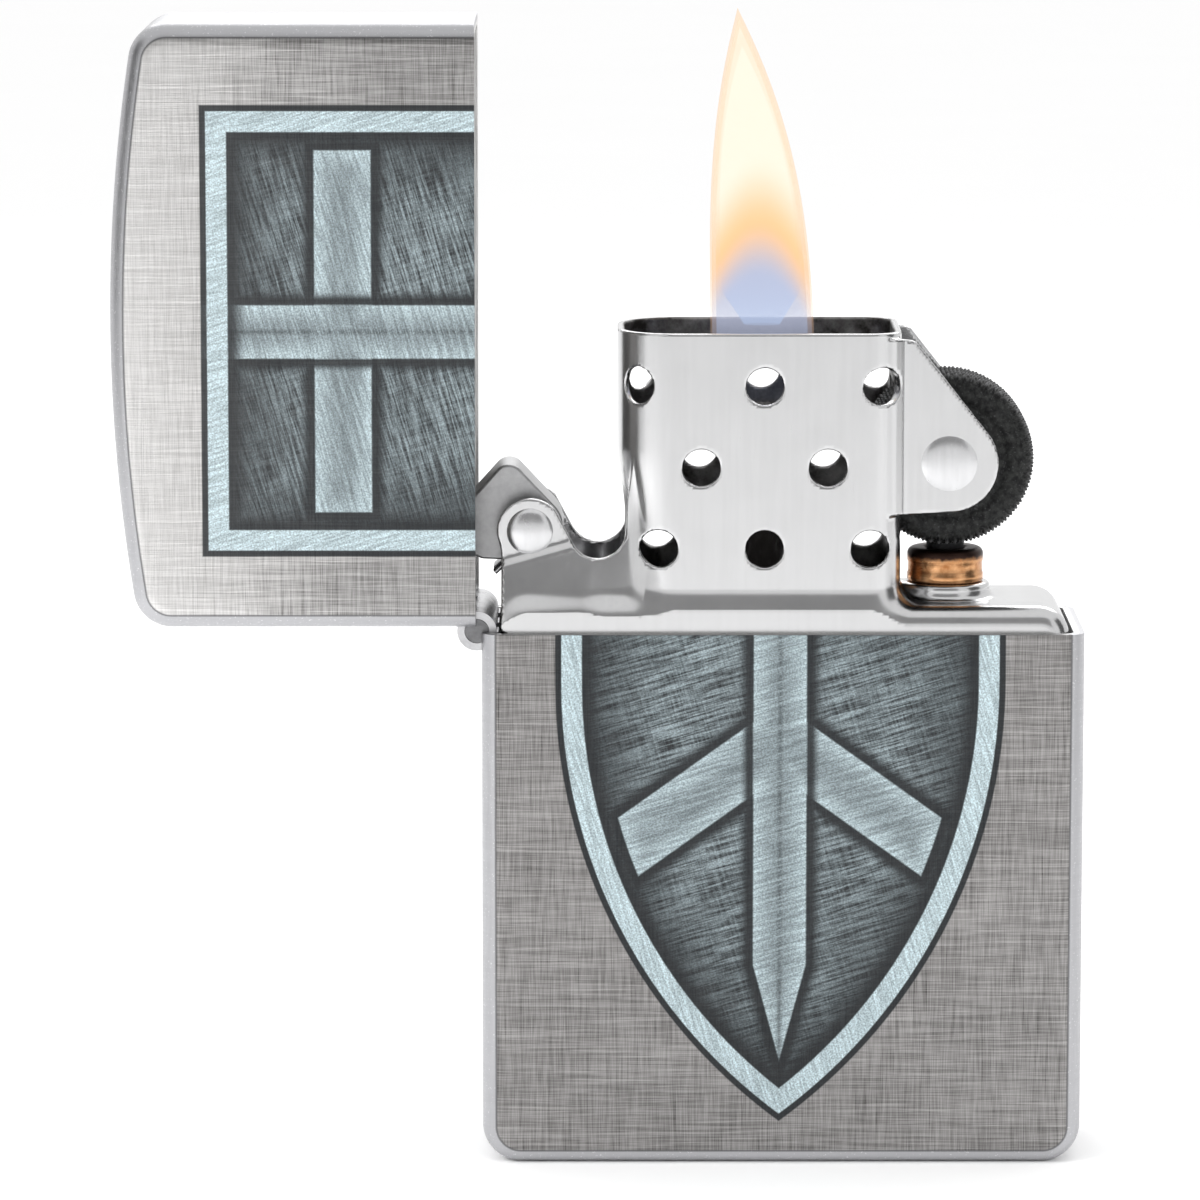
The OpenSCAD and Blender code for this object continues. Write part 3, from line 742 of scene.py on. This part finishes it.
def drawn_shell(name, path, opened):
    """Sheet shell round a path, with rounded long edges, flat faces and an open mouth."""
    quarter = 12
    rows = []
    verts = []
    facing = []
    lined = []
    for inset in (0.0, WALL):
        edge = EDGE_R - inset
        half = CASE_D / 2 - inset
        angles = np.concatenate([np.linspace(-90, 0, quarter + 1), np.linspace(0, 90, quarter + 1)])
        for x, z, nx, nz in path:
            row = []
            for k, a in enumerate(np.radians(angles)):
                out = -inset - edge + edge * math.cos(a)
                lift = (half - edge) * (-1 if k <= quarter else 1) + edge * math.sin(a)
                row.append(len(verts))
                verts.append((x + nx * out, lift, z + nz * out))
                facing.append(abs(math.sin(a)))
                lined.append(1.0 if inset else 0.0)
            rows.append(row)
    count = len(path)
    faces = []
    for shell in (0, 1):
        for i in range(count - 1):
            low, high = rows[shell * count + i], rows[shell * count + i + 1]
            faces += [(low[k], low[k + 1], high[k + 1], high[k]) for k in range(len(low) - 1)]
        for end in (0, -1):
            faces.append([rows[shell * count + i][end] for i in range(count)])
    for i in (0, count - 1):
        outer, inner = rows[i], rows[count + i]
        faces += [(outer[k], outer[k + 1], inner[k + 1], inner[k]) for k in range(len(outer) - 1)]
    for end in (0, -1):
        faces.append((rows[0][end], rows[count - 1][end], rows[2 * count - 1][end], rows[count][end]))
    obj = make_piece(name, verts, faces)
    add_values(obj, "facing", facing)
    add_values(obj, "inner", lined)
    outward(obj)

    reach = 1.35
    half_barrel = 5.1
    cutter = box_piece("notch", (HINGE[0] - reach, -half_barrel, HINGE[2] - reach),
                       (HINGE[0] + reach, half_barrel, HINGE[2] + reach))
    cut_with(obj, cutter)
    soften(obj, 0.09, 3, 50)
    if opened:
        turn = (Matrix.Translation(Vector(HINGE) * MM) @ Matrix.Rotation(-math.pi / 2, 4, "Y")
                @ Matrix.Translation(-Vector(HINGE) * MM))
        obj.data.transform(turn)
    obj.data.polygons.foreach_set("use_smooth", [True] * len(obj.data.polygons))
    return obj


base = drawn_shell("base_case", base_path(), False)
give(base, case_material("case_base", False))
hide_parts("base_shell")
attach(base, "case")

lid = drawn_shell("lid_case", lid_path(), True)
give(lid, case_material("case_lid", True))
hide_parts("lid_shell")
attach(lid, "lid")


# ---- Top of the insert: deck, windscreen and ears, pressed from one sheet
HOLE_R = 1.18
HOLE_LOW = RIM_Z + 5.3
HOLE_PITCH = 5.15
HOLE_TOP = HOLE_LOW + 2 * HOLE_PITCH
HOLE_TOP_INSET = 1.2
HOLE_LOW_INSET = 2.3
HOLE_MID_SHARE = 0.6


def hole_places():
    """Air holes as x and z, with the slant of the wall that they are punched through.

    Only the outer holes of the top row are in the round part of the wall.
    """
    middle = (SCREEN_X0 + SCREEN_X1) / 2
    top = SCREEN_W / 2 - HOLE_TOP_INSET
    low = SCREEN_W / 2 - HOLE_LOW_INSET
    rows = [(WICK_X, HOLE_TOP)]
    rows += [(WICK_X + s * low * HOLE_MID_SHARE, HOLE_LOW + HOLE_PITCH) for s in (-1, 1)]
    rows += [(WICK_X + s * low, HOLE_LOW) for s in (-1, 0, 1)]
    places = [(x, z, 0.0, 1.0) for x, z in rows]
    for sign, radius in ((-1, SCREEN_R_HINGE), (1, SCREEN_R_WHEEL)):
        slant = sign * (radius - HOLE_TOP_INSET) / radius
        lift = math.sqrt(1 - slant ** 2)
        height = SCREEN_HALF_D - radius * (1 - lift)
        shift = (SCREEN_HALF_D - height) * slant / lift
        places.append((middle + sign * top + shift, HOLE_TOP, -slant, lift))
    return places


VALLEY = (SCREEN_X0 - 1.25, DECK_Z + 4.75)
VALLEY_R = 1.8
CAM_EAR_R = 2.1
CAM_EAR_HALF = 0.25
CAM_EAR_MIDDLE = 3.62
EAR_STEP = HINGE[2] + 4.9
EAR_FOOT = DECK_Z - 1.2
WHEEL_EAR_R = 3.1
WHEEL_EAR_HALF = 0.275
WHEEL_EAR_MIDDLE = 4.68
WHEEL_EAR_JOG = 0.46
EAR_ROOT = 0.7
FOLD_R = 0.16
DECK_DROP = 16
DECK_R = 1.9
DECK_EDGE_R = 1.2
DECK_FILLET = 1.3
COLLAR_R = 2.85
COLLAR_RISE = 2.6
FLOOR_HALF = 0.2
TUBE_HOLE_R = 2.02
WHEEL_SLOT_R = 5.9
WHEEL_SLOT_HALF = 3.2
SKIRT = 0.9


def cam_ear_outline():
    """Ear with a round head at the cam's pivot, and the valley between it and the windscreen."""
    shoulder = VALLEY[1] + 4.5
    return ([(INSERT_X0, EAR_FOOT), (INSERT_X0, EAR_STEP)]
            + arc(CAM_PIVOT[0], CAM_PIVOT[2], CAM_EAR_R, 185, 42, 14)
            + arc(VALLEY[0], VALLEY[1], VALLEY_R, 205, 360, 14)
            + [(SCREEN_X0 + 0.62, VALLEY[1] + 2.0), (SCREEN_X0 + 1.0, shoulder),
               (SCREEN_X0 + 1.8, shoulder), (SCREEN_X0 + 1.8, EAR_FOOT)])


def wheel_ear_outline():
    """Ear from the windscreen's top corner round the wheel's axis, and level back to the windscreen."""
    left = SCREEN_X1 - EAR_ROOT
    return hull_outline([(WHEEL_AXIS[0], WHEEL_AXIS[2], WHEEL_EAR_R),
                         (SCREEN_X1 + 0.55, SCREEN_TOP - 1.0, 0.5),
                         (left, WHEEL_AXIS[2] - 3.2, 0.1), (left, SCREEN_TOP - 0.45, 0.1)])


def screen_field(x, y):
    """Distance to the windscreen's outside, seen from above."""
    return bar_field(x, y, SCREEN_X0, SCREEN_X1, SCREEN_HALF_D, SCREEN_R_HINGE, SCREEN_R_WHEEL)


def pressed_sheet(x, side, z, screen):
    """Deck and windscreen as one sheet with a collar for the flint tube, and a floor under the windscreen."""
    half_drop = DECK_DROP / 2
    end_view = bar_field(x, z - DECK_Z + half_drop, INSERT_X0, INSERT_X1, half_drop, DECK_R, DECK_R)
    deck = round_max(end_view, side - INSERT_HALF, DECK_EDGE_R)
    form = round_min(deck, screen, DECK_FILLET)
    collar = np.hypot(x - TUBE_X, side) - COLLAR_R
    collar = round_max(collar, z - RIM_Z - COLLAR_RISE, 0.3)
    form = np.maximum(round_min(form, collar, 0.6), side - INSERT_HALF)
    sheet = round_max(form, -(form + SHEET), 0.05)
    floor = np.maximum(np.abs(z - DECK_Z + 0.3) - FLOOR_HALF, screen + 0.3)
    return np.minimum(sheet, floor), deck


def cam_ear_field(x, side, z, screen, deck):
    """Cam ear: upright above a crease, and sloping out below it to the edge of the deck."""
    crease_rise, crease_slant = 3.95, 0.28
    crease = RIM_Z + crease_rise + (x - INSERT_X0) * crease_slant
    foot = RIM_Z + 0.4
    fall = np.clip((crease - z) / (crease - foot), -1, 1.1)
    slope = (np.hypot(fall, 0.06) + fall) / 2
    fade = smooth_step(VALLEY[0] + 0.6, VALLEY[0] - 1.2, x)
    middle = CAM_EAR_MIDDLE + 0.34 * fade * smooth_step(crease + 0.7, crease - 0.1, z) + 1.25 * slope
    ear = round_max(polygon_field(x, z, cam_ear_outline()), np.abs(side - middle) - CAM_EAR_HALF, 0.12)
    ear = np.maximum(ear, -(screen + SHEET))
    return np.maximum(ear, -(np.where(z < DECK_Z, deck, 1) + SHEET))


def wheel_ear_field(x, side, z, screen):
    """Wheel ear: folded out from the corner of the windscreen, with a groove along the fold."""
    jog = smooth_step(SCREEN_X1 - EAR_ROOT, SCREEN_X1 + 0.3, x)
    middle = WHEEL_EAR_MIDDLE - WHEEL_EAR_JOG * jog
    ear = round_max(polygon_field(x, z, wheel_ear_outline()), np.abs(side - middle) - WHEEL_EAR_HALF, 0.1)
    ear = np.maximum(ear, -(screen + SHEET))
    return round_max(ear, FOLD_R - np.hypot(x - SCREEN_X1 - 0.22, side - 4.56), 0.08)


def top_field(x, y, z):
    """Distance to the pressed top, in millimetres."""
    side = np.abs(y)
    waist = 0.5 * smooth_step(RIM_Z + 11.5, RIM_Z + 7.0, z) * smooth_step(SCREEN_X0 + 3.5, SCREEN_X0, x)
    screen = screen_field(x - waist, y)
    sheet, deck = pressed_sheet(x, side, z, screen)

    fillet = 0.2 + 1.0 * smooth_step(VALLEY[1] + 4.0, RIM_Z + 2.0, z)
    sheet = round_min(sheet, cam_ear_field(x, side, z, screen, deck), fillet)
    sheet = np.maximum(sheet, side - INSERT_HALF)
    sheet = np.maximum(sheet, np.where(z < EAR_STEP, INSERT_X0, CAM_PIVOT[0] - 2.2) - x)
    sheet = round_min(sheet, wheel_ear_field(x, side, z, screen), 0.22)

    sheet = round_max(sheet, z - SCREEN_TOP + 0.01, 0.12)
    sheet = np.maximum(sheet, RIM_Z - SKIRT - z)
    for hx, hz, out, lift in hole_places():
        along = (x - hx) * lift + (side - SCREEN_HALF_D) * out
        sheet = round_max(sheet, HOLE_R - np.hypot(along, z - hz), 0.13)
    slot = np.maximum(np.hypot(x - WHEEL_AXIS[0], z - WHEEL_AXIS[2]) - WHEEL_SLOT_R, side - WHEEL_SLOT_HALF)
    sheet = round_max(sheet, -slot, 0.07)
    sheet = np.maximum(sheet, TUBE_HOLE_R - np.hypot(x - TUBE_X, y))
    wick_hole = np.maximum(np.hypot(x - WICK_X, y) - WICK_R - 0.1, z - DECK_Z - 1.0)
    return np.maximum(sheet, -wick_hole)


TOP_CELL = 0.19
top = field_piece("windscreen_pressing", top_field,
                  (INSERT_X0 - 0.6, -5.9, RIM_Z - 1.1), (INSERT_X1 + 0.5, 5.9, SCREEN_TOP + 0.4), TOP_CELL)
spots = np.array([v.co for v in top.data.vertices]) / MM
depth_in = -screen_field(spots[:, 0], spots[:, 1])
soot = smooth_step(SHEET * 0.45, SHEET * 0.95, depth_in)
soot *= smooth_step(DECK_Z - 0.6, DECK_Z - 0.2, spots[:, 2])
add_values(top, "soot", soot)
give(top, bright_sheet("insert_bright", (0.67, 0.67, 0.675), 0.15, streak=0.14, sooted=True))
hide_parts("windscreen_top")
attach(top, "case")


# ---- Striker wheel, cam, rivets, tube and wick
def striker_wheel():
    """Wheel with a cross-cut rim, raised side rings and a boss that reaches the ears."""
    teeth, per_tooth = 66, 8
    tooth_depth, tooth_lean = 0.3, 0.95
    around = teeth * per_tooth
    radius = (WHEEL_HIGH[2] - WHEEL_LOW[2]) / 2
    half = 2.8
    reach = WHEEL_HIGH[1] - 0.01
    bore = 0.95
    side = [(bore, reach), (1.9, reach), (2.1, reach - 0.12), (2.15, half + 0.35), (2.45, half + 0.1),
            (3.3, half), (3.5, half - 0.12), (3.7, half - 0.12), (3.9, half), (4.55, half - 0.02),
            (4.75, half - 0.22), (4.95, half - 0.3)]
    rim_half = half - 0.42
    across = 44
    profile = [(r, h, 0.0) for r, h in side]
    for h in np.linspace(rim_half, -rim_half, across):
        edge = 0.22 * max(0.0, abs(h) - rim_half + 0.35) / 0.35
        profile.append((radius - edge, h, 1.0))
    profile += [(r, -h, 0.0) for r, h in reversed(side)]
    angle = full_turn(around)
    verts, worn = [], []
    for r, h, toothed in profile:
        ripple = np.zeros(around)
        if toothed:
            turn = angle / (2 * math.pi) * teeth
            cut_a = np.abs((turn + h * tooth_lean) % 1 - 0.5) * 2
            cut_b = np.abs((turn - h * tooth_lean) % 1 - 0.5) * 2
            ripple = tooth_depth * (1 - np.minimum(1, 1.35 * np.minimum(1 - cut_a, 1 - cut_b)))
        verts += [(WHEEL_AXIS[0] + q * math.cos(a), h, WHEEL_AXIS[2] + q * math.sin(a))
                  for q, a in zip(r - ripple, angle)]
        worn += list(np.where(ripple < 0.06, toothed, 0.0))
    obj = make_piece("wheel", verts, ring_faces(len(profile), around, wrap=True))
    add_values(obj, "worn", worn)
    return outward(obj)


def rivet(name, place, r, head_r, rise, half):
    """Rivet across two ears, with a low rounded head at each end."""
    def head(sign):
        return [(head_r * q, sign * (half + rise * (0.7 * (1 - q ** 2) + 0.3 * (1 - q ** 8))))
                for q in np.sin(np.linspace(0, math.pi / 2, 20))]

    profile = head(-1) + [(head_r, -half + 0.02), (r, -half + 0.03), (r, half - 0.03), (head_r, half - 0.02)]
    profile += head(1)[::-1]
    return lathe(name, profile, 72, (place[0], 0, place[2]))


wheel = striker_wheel()
give(wheel, wheel_material())
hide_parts("striker_wheel")
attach(wheel, "striker")

polished = bright_sheet("rivet_bright", (0.72, 0.72, 0.73), 0.2, bump=0.12)
wheel_pin = rivet("wheel_axle", WHEEL_AXIS, r=0.9, head_r=1.76, rise=0.25, half=4.5)
give(wheel_pin, polished)
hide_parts("wheel_rivet")
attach(wheel_pin, "case")

cam_pin = rivet("cam_pivot_pin", CAM_PIVOT, r=0.7, head_r=1.46, rise=0.42, half=3.9)
give(cam_pin, polished)
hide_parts("cam_rivet")
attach(cam_pin, "case")


def cam_plate():
    """Cam: a thick plate round its pivot, with a peak and a tail, and a boss towards the ears."""
    lobes = [(0, 0, 2.1), (-1.35, 3.05, 1.0), (-4.6, -0.4, 0.9), (-2.9, -1.3, 0.7)]
    half, bore, boss_r, boss_end = 2.2, 0.74, 1.45, 3.28
    pivot = (CAM_PIVOT[0], 0, CAM_PIVOT[2])
    outline = hull_outline([(pivot[0] + x, pivot[2] + z, r) for x, z, r in lobes])
    obj = plate("cam_plate", outline, -half, half)
    cut_with(obj, lathe("bore", [(0, -5), (bore, -5), (bore, 5), (0, 5)], 48, pivot))
    soften(obj, 0.18, 3, 40)
    root = half - 0.1
    boss = lathe("boss", [(bore, root), (boss_r, root), (boss_r, boss_end - 0.08), (boss_r - 0.1, boss_end),
                          (bore, boss_end), (bore, root)], 48, pivot)
    other = new_object("other_boss", boss.data.copy())
    other.data.transform(Matrix.Scale(-1, 4, (0, 1, 0)))
    outward(other)
    return join([obj, boss, other], "cam_plate")


def join(objects, name):
    """One object from several."""
    bm = bmesh.new()
    for o in objects:
        bm.from_mesh(o.data)
    mesh = bpy.data.meshes.new(name)
    bm.to_mesh(mesh)
    bm.free()
    for o in objects:
        bpy.data.objects.remove(o)
    mesh.polygons.foreach_set("use_smooth", [True] * len(mesh.polygons))
    return new_object(name, mesh)


cam = cam_plate()
give(cam, dull_metal("cam_dull", (0.3, 0.3, 0.305), (0.46, 0.46, 0.465), 0.36))
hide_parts("cam")
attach(cam, "cam")


def flint_tube():
    """Tube with a rolled head under the wheel."""
    bore, r, head_r, lip = 1.26, 1.94, 2.42, 0.42
    z0, z1 = TUBE_LOW[2], TUBE_HIGH[2]
    head_z = z1 - 2.15
    profile = [(bore, z0), (r, z0), (r, head_z), (head_r - 0.08, head_z), (head_r, head_z + 0.08)]
    profile += [(head_r, head_z + 0.5), (head_r - 0.05, head_z + 0.58), (head_r - 0.05, head_z + 1.2),
                (head_r, head_z + 1.3)]
    profile += arc(head_r - lip, z1 - lip, lip, 0, 90, 10) + arc(bore + 0.25, z1 - 0.25, 0.25, 90, 180, 6)
    profile += [(bore, z0)]
    return lathe("flint_tube_turned", profile, 96, (TUBE_X, 0, 0), axis="Z")


tube = flint_tube()
give(tube, bronze_material())
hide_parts("flint_tube")
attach(tube, "case")


def braided_wick():
    """Wick with a braided surface and a frayed, charred tip."""
    z0, z1 = WICK_LOW[2], WICK_HIGH[2]
    around, strands, lay = 72, 8, 3.4
    rows = int((z1 - z0) / 0.12)
    heights = np.linspace(z0, z1 - 0.35, rows)
    angle = full_turn(around)
    verts = []
    rng = np.random.default_rng(7)
    for h in heights:
        turn = h / lay
        over = np.sin(angle * strands / 2 + turn * 2 * math.pi)
        under = np.sin(angle * strands / 2 - turn * 2 * math.pi)
        bulge = np.maximum(np.abs(over), np.abs(under))
        fray = rng.normal(0, 0.012, around)
        r = np.minimum(WICK_R - 0.01, WICK_R - 0.2 + 0.19 * bulge + fray)
        verts += [(WICK_X + q * math.cos(a), q * math.sin(a), h) for q, a in zip(r, angle)]
    for ring, drop in ((0.8, 0.16), (0.55, 0.04), (0.28, 0.0)):
        lift = rng.uniform(-0.12, 0.1, around)
        verts += [(WICK_X + WICK_R * ring * math.cos(a), WICK_R * ring * math.sin(a),
                   min(z1 - 0.005, z1 - 0.12 - drop + e)) for a, e in zip(angle, lift)]
    rings = len(verts) // around
    return outward(make_piece("wick_braid", verts, ring_faces(rings, around) + end_faces(rings, around)))


wick = braided_wick()
give(wick, fibre_material("wick_cotton", (0.5, 0.45, 0.37), (0.86, 0.82, 0.74), 2.6, DECK_Z + 1.0))
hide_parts("wick")
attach(wick, "case")


def swept(name, path, section):
    """Piece swept along a path of (point, across, up) frames."""
    verts = [point + across * u + up * v for point, across, up in path for u, v in section]
    faces = ring_faces(len(path), len(section)) + end_faces(len(path), len(section))
    return outward(make_piece(name, verts, faces))


def coil_spring():
    """Flint spring in round wire, between the screw and the pusher."""
    low, high = node_box("flint_spring")
    wire, turns = 0.2, 15
    ring = (high[0] - low[0]) / 2 - wire
    top, bottom = high[2] - wire, low[2] + wire
    path = []
    steps = turns * 28
    for i in range(steps + 1):
        a = 2 * math.pi * turns * i / steps
        out = np.array((math.cos(a), math.sin(a), 0.0))
        point = np.array((TUBE_X, 0, bottom + (top - bottom) * i / steps)) + out * ring
        path.append((point, out, np.array((0, 0, 1.0))))
    return swept("flint_coil", path, round_section(wire, 12)), low, high


spring_metal = dull_metal("spring_steel", (0.45, 0.45, 0.46), (0.62, 0.62, 0.63), 0.26)
coil, coil_low, coil_high = coil_spring()
give(coil, spring_metal)
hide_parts("flint_spring")
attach(coil, "case")
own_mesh(coil)


def leaf_spring():
    """Cam spring: a strip riveted to the deck, with a soft crest under the cam and a turned-down tip."""
    low, high = node_box("cam_spring")
    half_t, half_w = 0.15, (high[1] - low[1]) / 2 - 0.05
    crest = high[2] - half_t
    nodes = [(high[0] - half_t, low[2] + half_t), (CAM_PIVOT[0] + 1.0, low[2] + half_t),
             (CAM_PIVOT[0] + 0.45, low[2] + half_t + 0.12), (CAM_PIVOT[0] - 0.6, crest - 0.55),
             (CAM_PIVOT[0] - 1.15, crest - 0.06), (CAM_PIVOT[0] - 1.6, crest - 0.02),
             (low[0] + half_t + 0.12, crest - 0.52), (low[0] + half_t, crest - 0.62)]
    points = []
    for (ax, az), (bx, bz) in zip(nodes, nodes[1:]):
        points += [np.array((ax + (bx - ax) * t, 0, az + (bz - az) * t)) for t in np.linspace(0, 1, 8)[:-1]]
    points.append(np.array((nodes[-1][0], 0, nodes[-1][1])))
    for _ in range(6):
        points[1:-1] = [(a + 2 * b + c) / 4 for a, b, c in zip(points, points[1:], points[2:])]
    path = []
    for i, point in enumerate(points):
        ahead = points[min(i + 1, len(points) - 1)] - points[max(i - 1, 0)]
        ahead /= np.linalg.norm(ahead)
        path.append((point, np.array((0, 1.0, 0)), np.array((-ahead[2], 0, ahead[0]))))
    edge = 0.07
    right = [(half_w - edge, -half_t), (half_w, -half_t + edge),
             (half_w, half_t - edge), (half_w - edge, half_t)]
    section = right + [(-u, -v) for u, v in right]
    return swept("cam_leaf_spring", path, section)


leaf = leaf_spring()
give(leaf, spring_metal)
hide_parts("cam_spring")
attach(leaf, "case")
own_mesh(leaf)


# ---- CAD nodes that keep their shape
KEPT = {
    "base_hinge_leaf": dull_metal("hinge_steel", (0.42, 0.42, 0.43), (0.6, 0.6, 0.61), 0.3),
    "hinge_pin": dull_metal("pin_steel", (0.1, 0.1, 0.105), (0.24, 0.24, 0.245), 0.4),
    "cam_spring_rivet": polished,
    "fuel_tank": bright_sheet("tank_steel", (0.72, 0.72, 0.725), 0.24),
    "flint": dull_metal("flint_alloy", (0.02, 0.02, 0.022), (0.06, 0.06, 0.062), 0.6),
    "flint_pusher": dull_metal("screw_brass", (0.5, 0.34, 0.12), (0.74, 0.55, 0.24), 0.3),
    "cotton_packing": fibre_material("packing_cotton", (0.78, 0.76, 0.72), (0.95, 0.94, 0.92), 1.2),
    "felt_pad": fibre_material("felt", (0.55, 0.5, 0.42), (0.78, 0.73, 0.64), 3.0),
}
KEPT["lid_hinge_leaf"] = KEPT["base_hinge_leaf"]
KEPT["flint_screw"] = KEPT["flint_pusher"]
for node_name, node_material in KEPT.items():
    for item in frame["nodes"][node_name].material_slots:
        item.material = node_material.material


# ---- Stage: floor, flame, lights and camera
def sheet_piece(name, w, h):
    """Flat rectangle for the stage, 2 w by 2 h."""
    return make_piece(name, [(-w, -h, 0), (w, -h, 0), (w, h, 0), (-w, h, 0)], [(0, 1, 2, 3)], smooth=False)


def floor_piece():
    """Plain pale floor."""
    m = Material("floor", Roughness=0.9)
    point = m.place()
    m.set("Base Color", m.mix(m.noise(point, 0.02, 2.0), (0.975, 0.975, 0.975), (0.99, 0.99, 0.99)))
    side = 4000
    obj = sheet_piece("floor", side, side)
    give(obj, m)


floor_piece()

FLAME_LOW, FLAME_FOOT, FLAME_HIGH = WICK_HIGH[2] - 0.3, SCREEN_TOP - 2.45, 73.2


def flame_shell(name, scale, low, high, core, edge, strength, cover):
    """One shell of the flame: a leaf of glowing gas, thin at its ends, blue at its foot and then orange."""
    rows, around = 72, 48
    verts = []
    for i in range(rows + 1):
        t = i / rows
        z = low + (high - low) * t
        up = max(0, z - FLAME_FOOT) / (FLAME_HIGH - FLAME_FOOT)
        half = 3.3 * scale * min(1, 0.45 + 4.5 * t) * (1 - t ** 3.2) ** 1.05
        lean = -1.25 - 1.65 * up ** 1.7
        verts += [(lean + half * math.cos(a), 0.62 * half * math.sin(a), z)
                  for a in full_turn(around)]
    obj = outward(make_piece(name, verts, ring_faces(rows + 1, around)))
    m = Material(name + "_glow")
    x, _, z = m.split(m.place())
    aside = m.add(x, 1.5)
    peaked = m.add(z, m.mul(m.mul(aside, aside), 0.36))
    hot = m.remap(peaked, FLAME_FOOT + 8.6, FLAME_FOOT + 13.5, smooth=True)
    cold = m.remap(peaked, FLAME_FOOT + 9.4, FLAME_FOOT + 5.6, smooth=True)
    colour = m.mix(cold, m.mix(hot, (1.0, 0.62, 0.34), core), (0.36, 0.52, 0.8))
    colour = m.mix(edge, colour, (1.0, 0.52, 0.14))
    glow = m.node("ShaderNodeEmission", {"Color": colour, "Strength": strength}).outputs[0]
    clear = m.node("ShaderNodeBsdfTransparent").outputs[0]
    show = m.mul(m.remap(z, FLAME_FOOT - 0.8, FLAME_FOOT + 6.4, 0.02, 1.0, smooth=True), cover)
    mixed = m.node("ShaderNodeMixShader", {0: show, 1: clear, 2: glow}).outputs[0]
    output = m.tree.nodes["Material Output"]
    m.tree.links.new(mixed, output.inputs["Surface"])
    give(obj, m)
    obj.visible_shadow = False
    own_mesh(obj)


flame_shell("flame_skin", 1.0, FLAME_LOW, FLAME_HIGH,
            core=(1.0, 0.8, 0.5), edge=0.6, strength=1.0, cover=0.28)
flame_shell("flame_middle", 0.965, FLAME_LOW + 0.2, FLAME_HIGH - 0.5,
            core=(1.0, 0.95, 0.8), edge=0.1, strength=1.05, cover=0.3)
flame_shell("flame_inner", 0.88, FLAME_LOW + 0.4, FLAME_HIGH - 1.2,
            core=(1.0, 0.99, 0.93), edge=0.0, strength=1.15, cover=0.42)
flame_shell("flame_core", 0.76, FLAME_FOOT + 2.5, FLAME_HIGH - 2.4,
            core=(1.0, 1.0, 0.98), edge=0.0, strength=1.3, cover=0.6)


def area_light(name, place, aim, size, power):
    """Soft rectangular lamp, pointed at a place."""
    data = bpy.data.lights.new(name, "AREA")
    data.shape = "RECTANGLE"
    data.size, data.size_y = size[0] * MM, size[1] * MM
    data.energy = power
    obj = new_object(name, data)
    obj.location = Vector(place) * MM
    obj.rotation_euler = (Vector(aim) - Vector(place)).to_track_quat("-Z", "Y").to_euler()
    return obj


TARGET = Vector((-11.57, -CASE_D / 2, RIM_Z + 2.25))
area_light("key", (-230, -150, 190), (-30, 0, 45), (150, 200), 0.55).visible_glossy = False
area_light("fill", (330, -300, 220), TARGET, (240, 240), 0.5).visible_glossy = False
area_light("back", (40, 380, 330), TARGET, (460, 220), 0.9)


def card(name, place, aim, size, shade):
    """Grey studio card that only shows in reflections."""
    m = Material(name + "_grey", Roughness=0.9)
    m.set("Base Color", m.mix(m.noise(m.place(), 0.01, 1.0), (shade * 0.9,) * 3, (shade * 1.1,) * 3))
    obj = sheet_piece(name, size[0] / 2, size[1] / 2)
    obj.location = Vector(place) * MM
    obj.rotation_euler = (Vector(aim) - Vector(place)).to_track_quat("Z", "Y").to_euler()
    give(obj, m)
    obj.visible_camera = False
    obj.visible_diffuse = False
    obj.visible_shadow = False
    obj.visible_transmission = False


card("card_left", (-420, -40, 120), TARGET, (300, 420), 0.06)
card("card_right", (400, -60, 120), TARGET, (260, 420), 0.08)
card("card_front", (0, -415, 283), TARGET, (560, 330), 0.25)

world = bpy.data.worlds.new("studio")
world.use_nodes = True
world.node_tree.nodes["Background"].inputs[0].default_value = (1, 1, 1, 1)
world.node_tree.nodes["Background"].inputs[1].default_value = 1.0
bpy.context.scene.world = world
bpy.context.scene.view_settings.view_transform = "Standard"

FRAME_W = 75.5
LENS = 200.0
SENSOR = 36.0
AZIMUTH, ELEVATION = math.radians(0.0), math.radians(8.6)
distance = FRAME_W * LENS / SENSOR
camera_data = bpy.data.cameras.new("camera")
camera_data.lens = LENS
camera_data.sensor_width = SENSOR
camera_data.clip_end = 20
camera = new_object("camera", camera_data)
camera.location = (TARGET + distance * Vector((math.sin(AZIMUTH) * math.cos(ELEVATION),
                                               -math.cos(AZIMUTH) * math.cos(ELEVATION),
                                               math.sin(ELEVATION)))) * MM
camera.rotation_euler = (TARGET * MM - camera.location).to_track_quat("-Z", "Y").to_euler()
bpy.context.scene.camera = camera
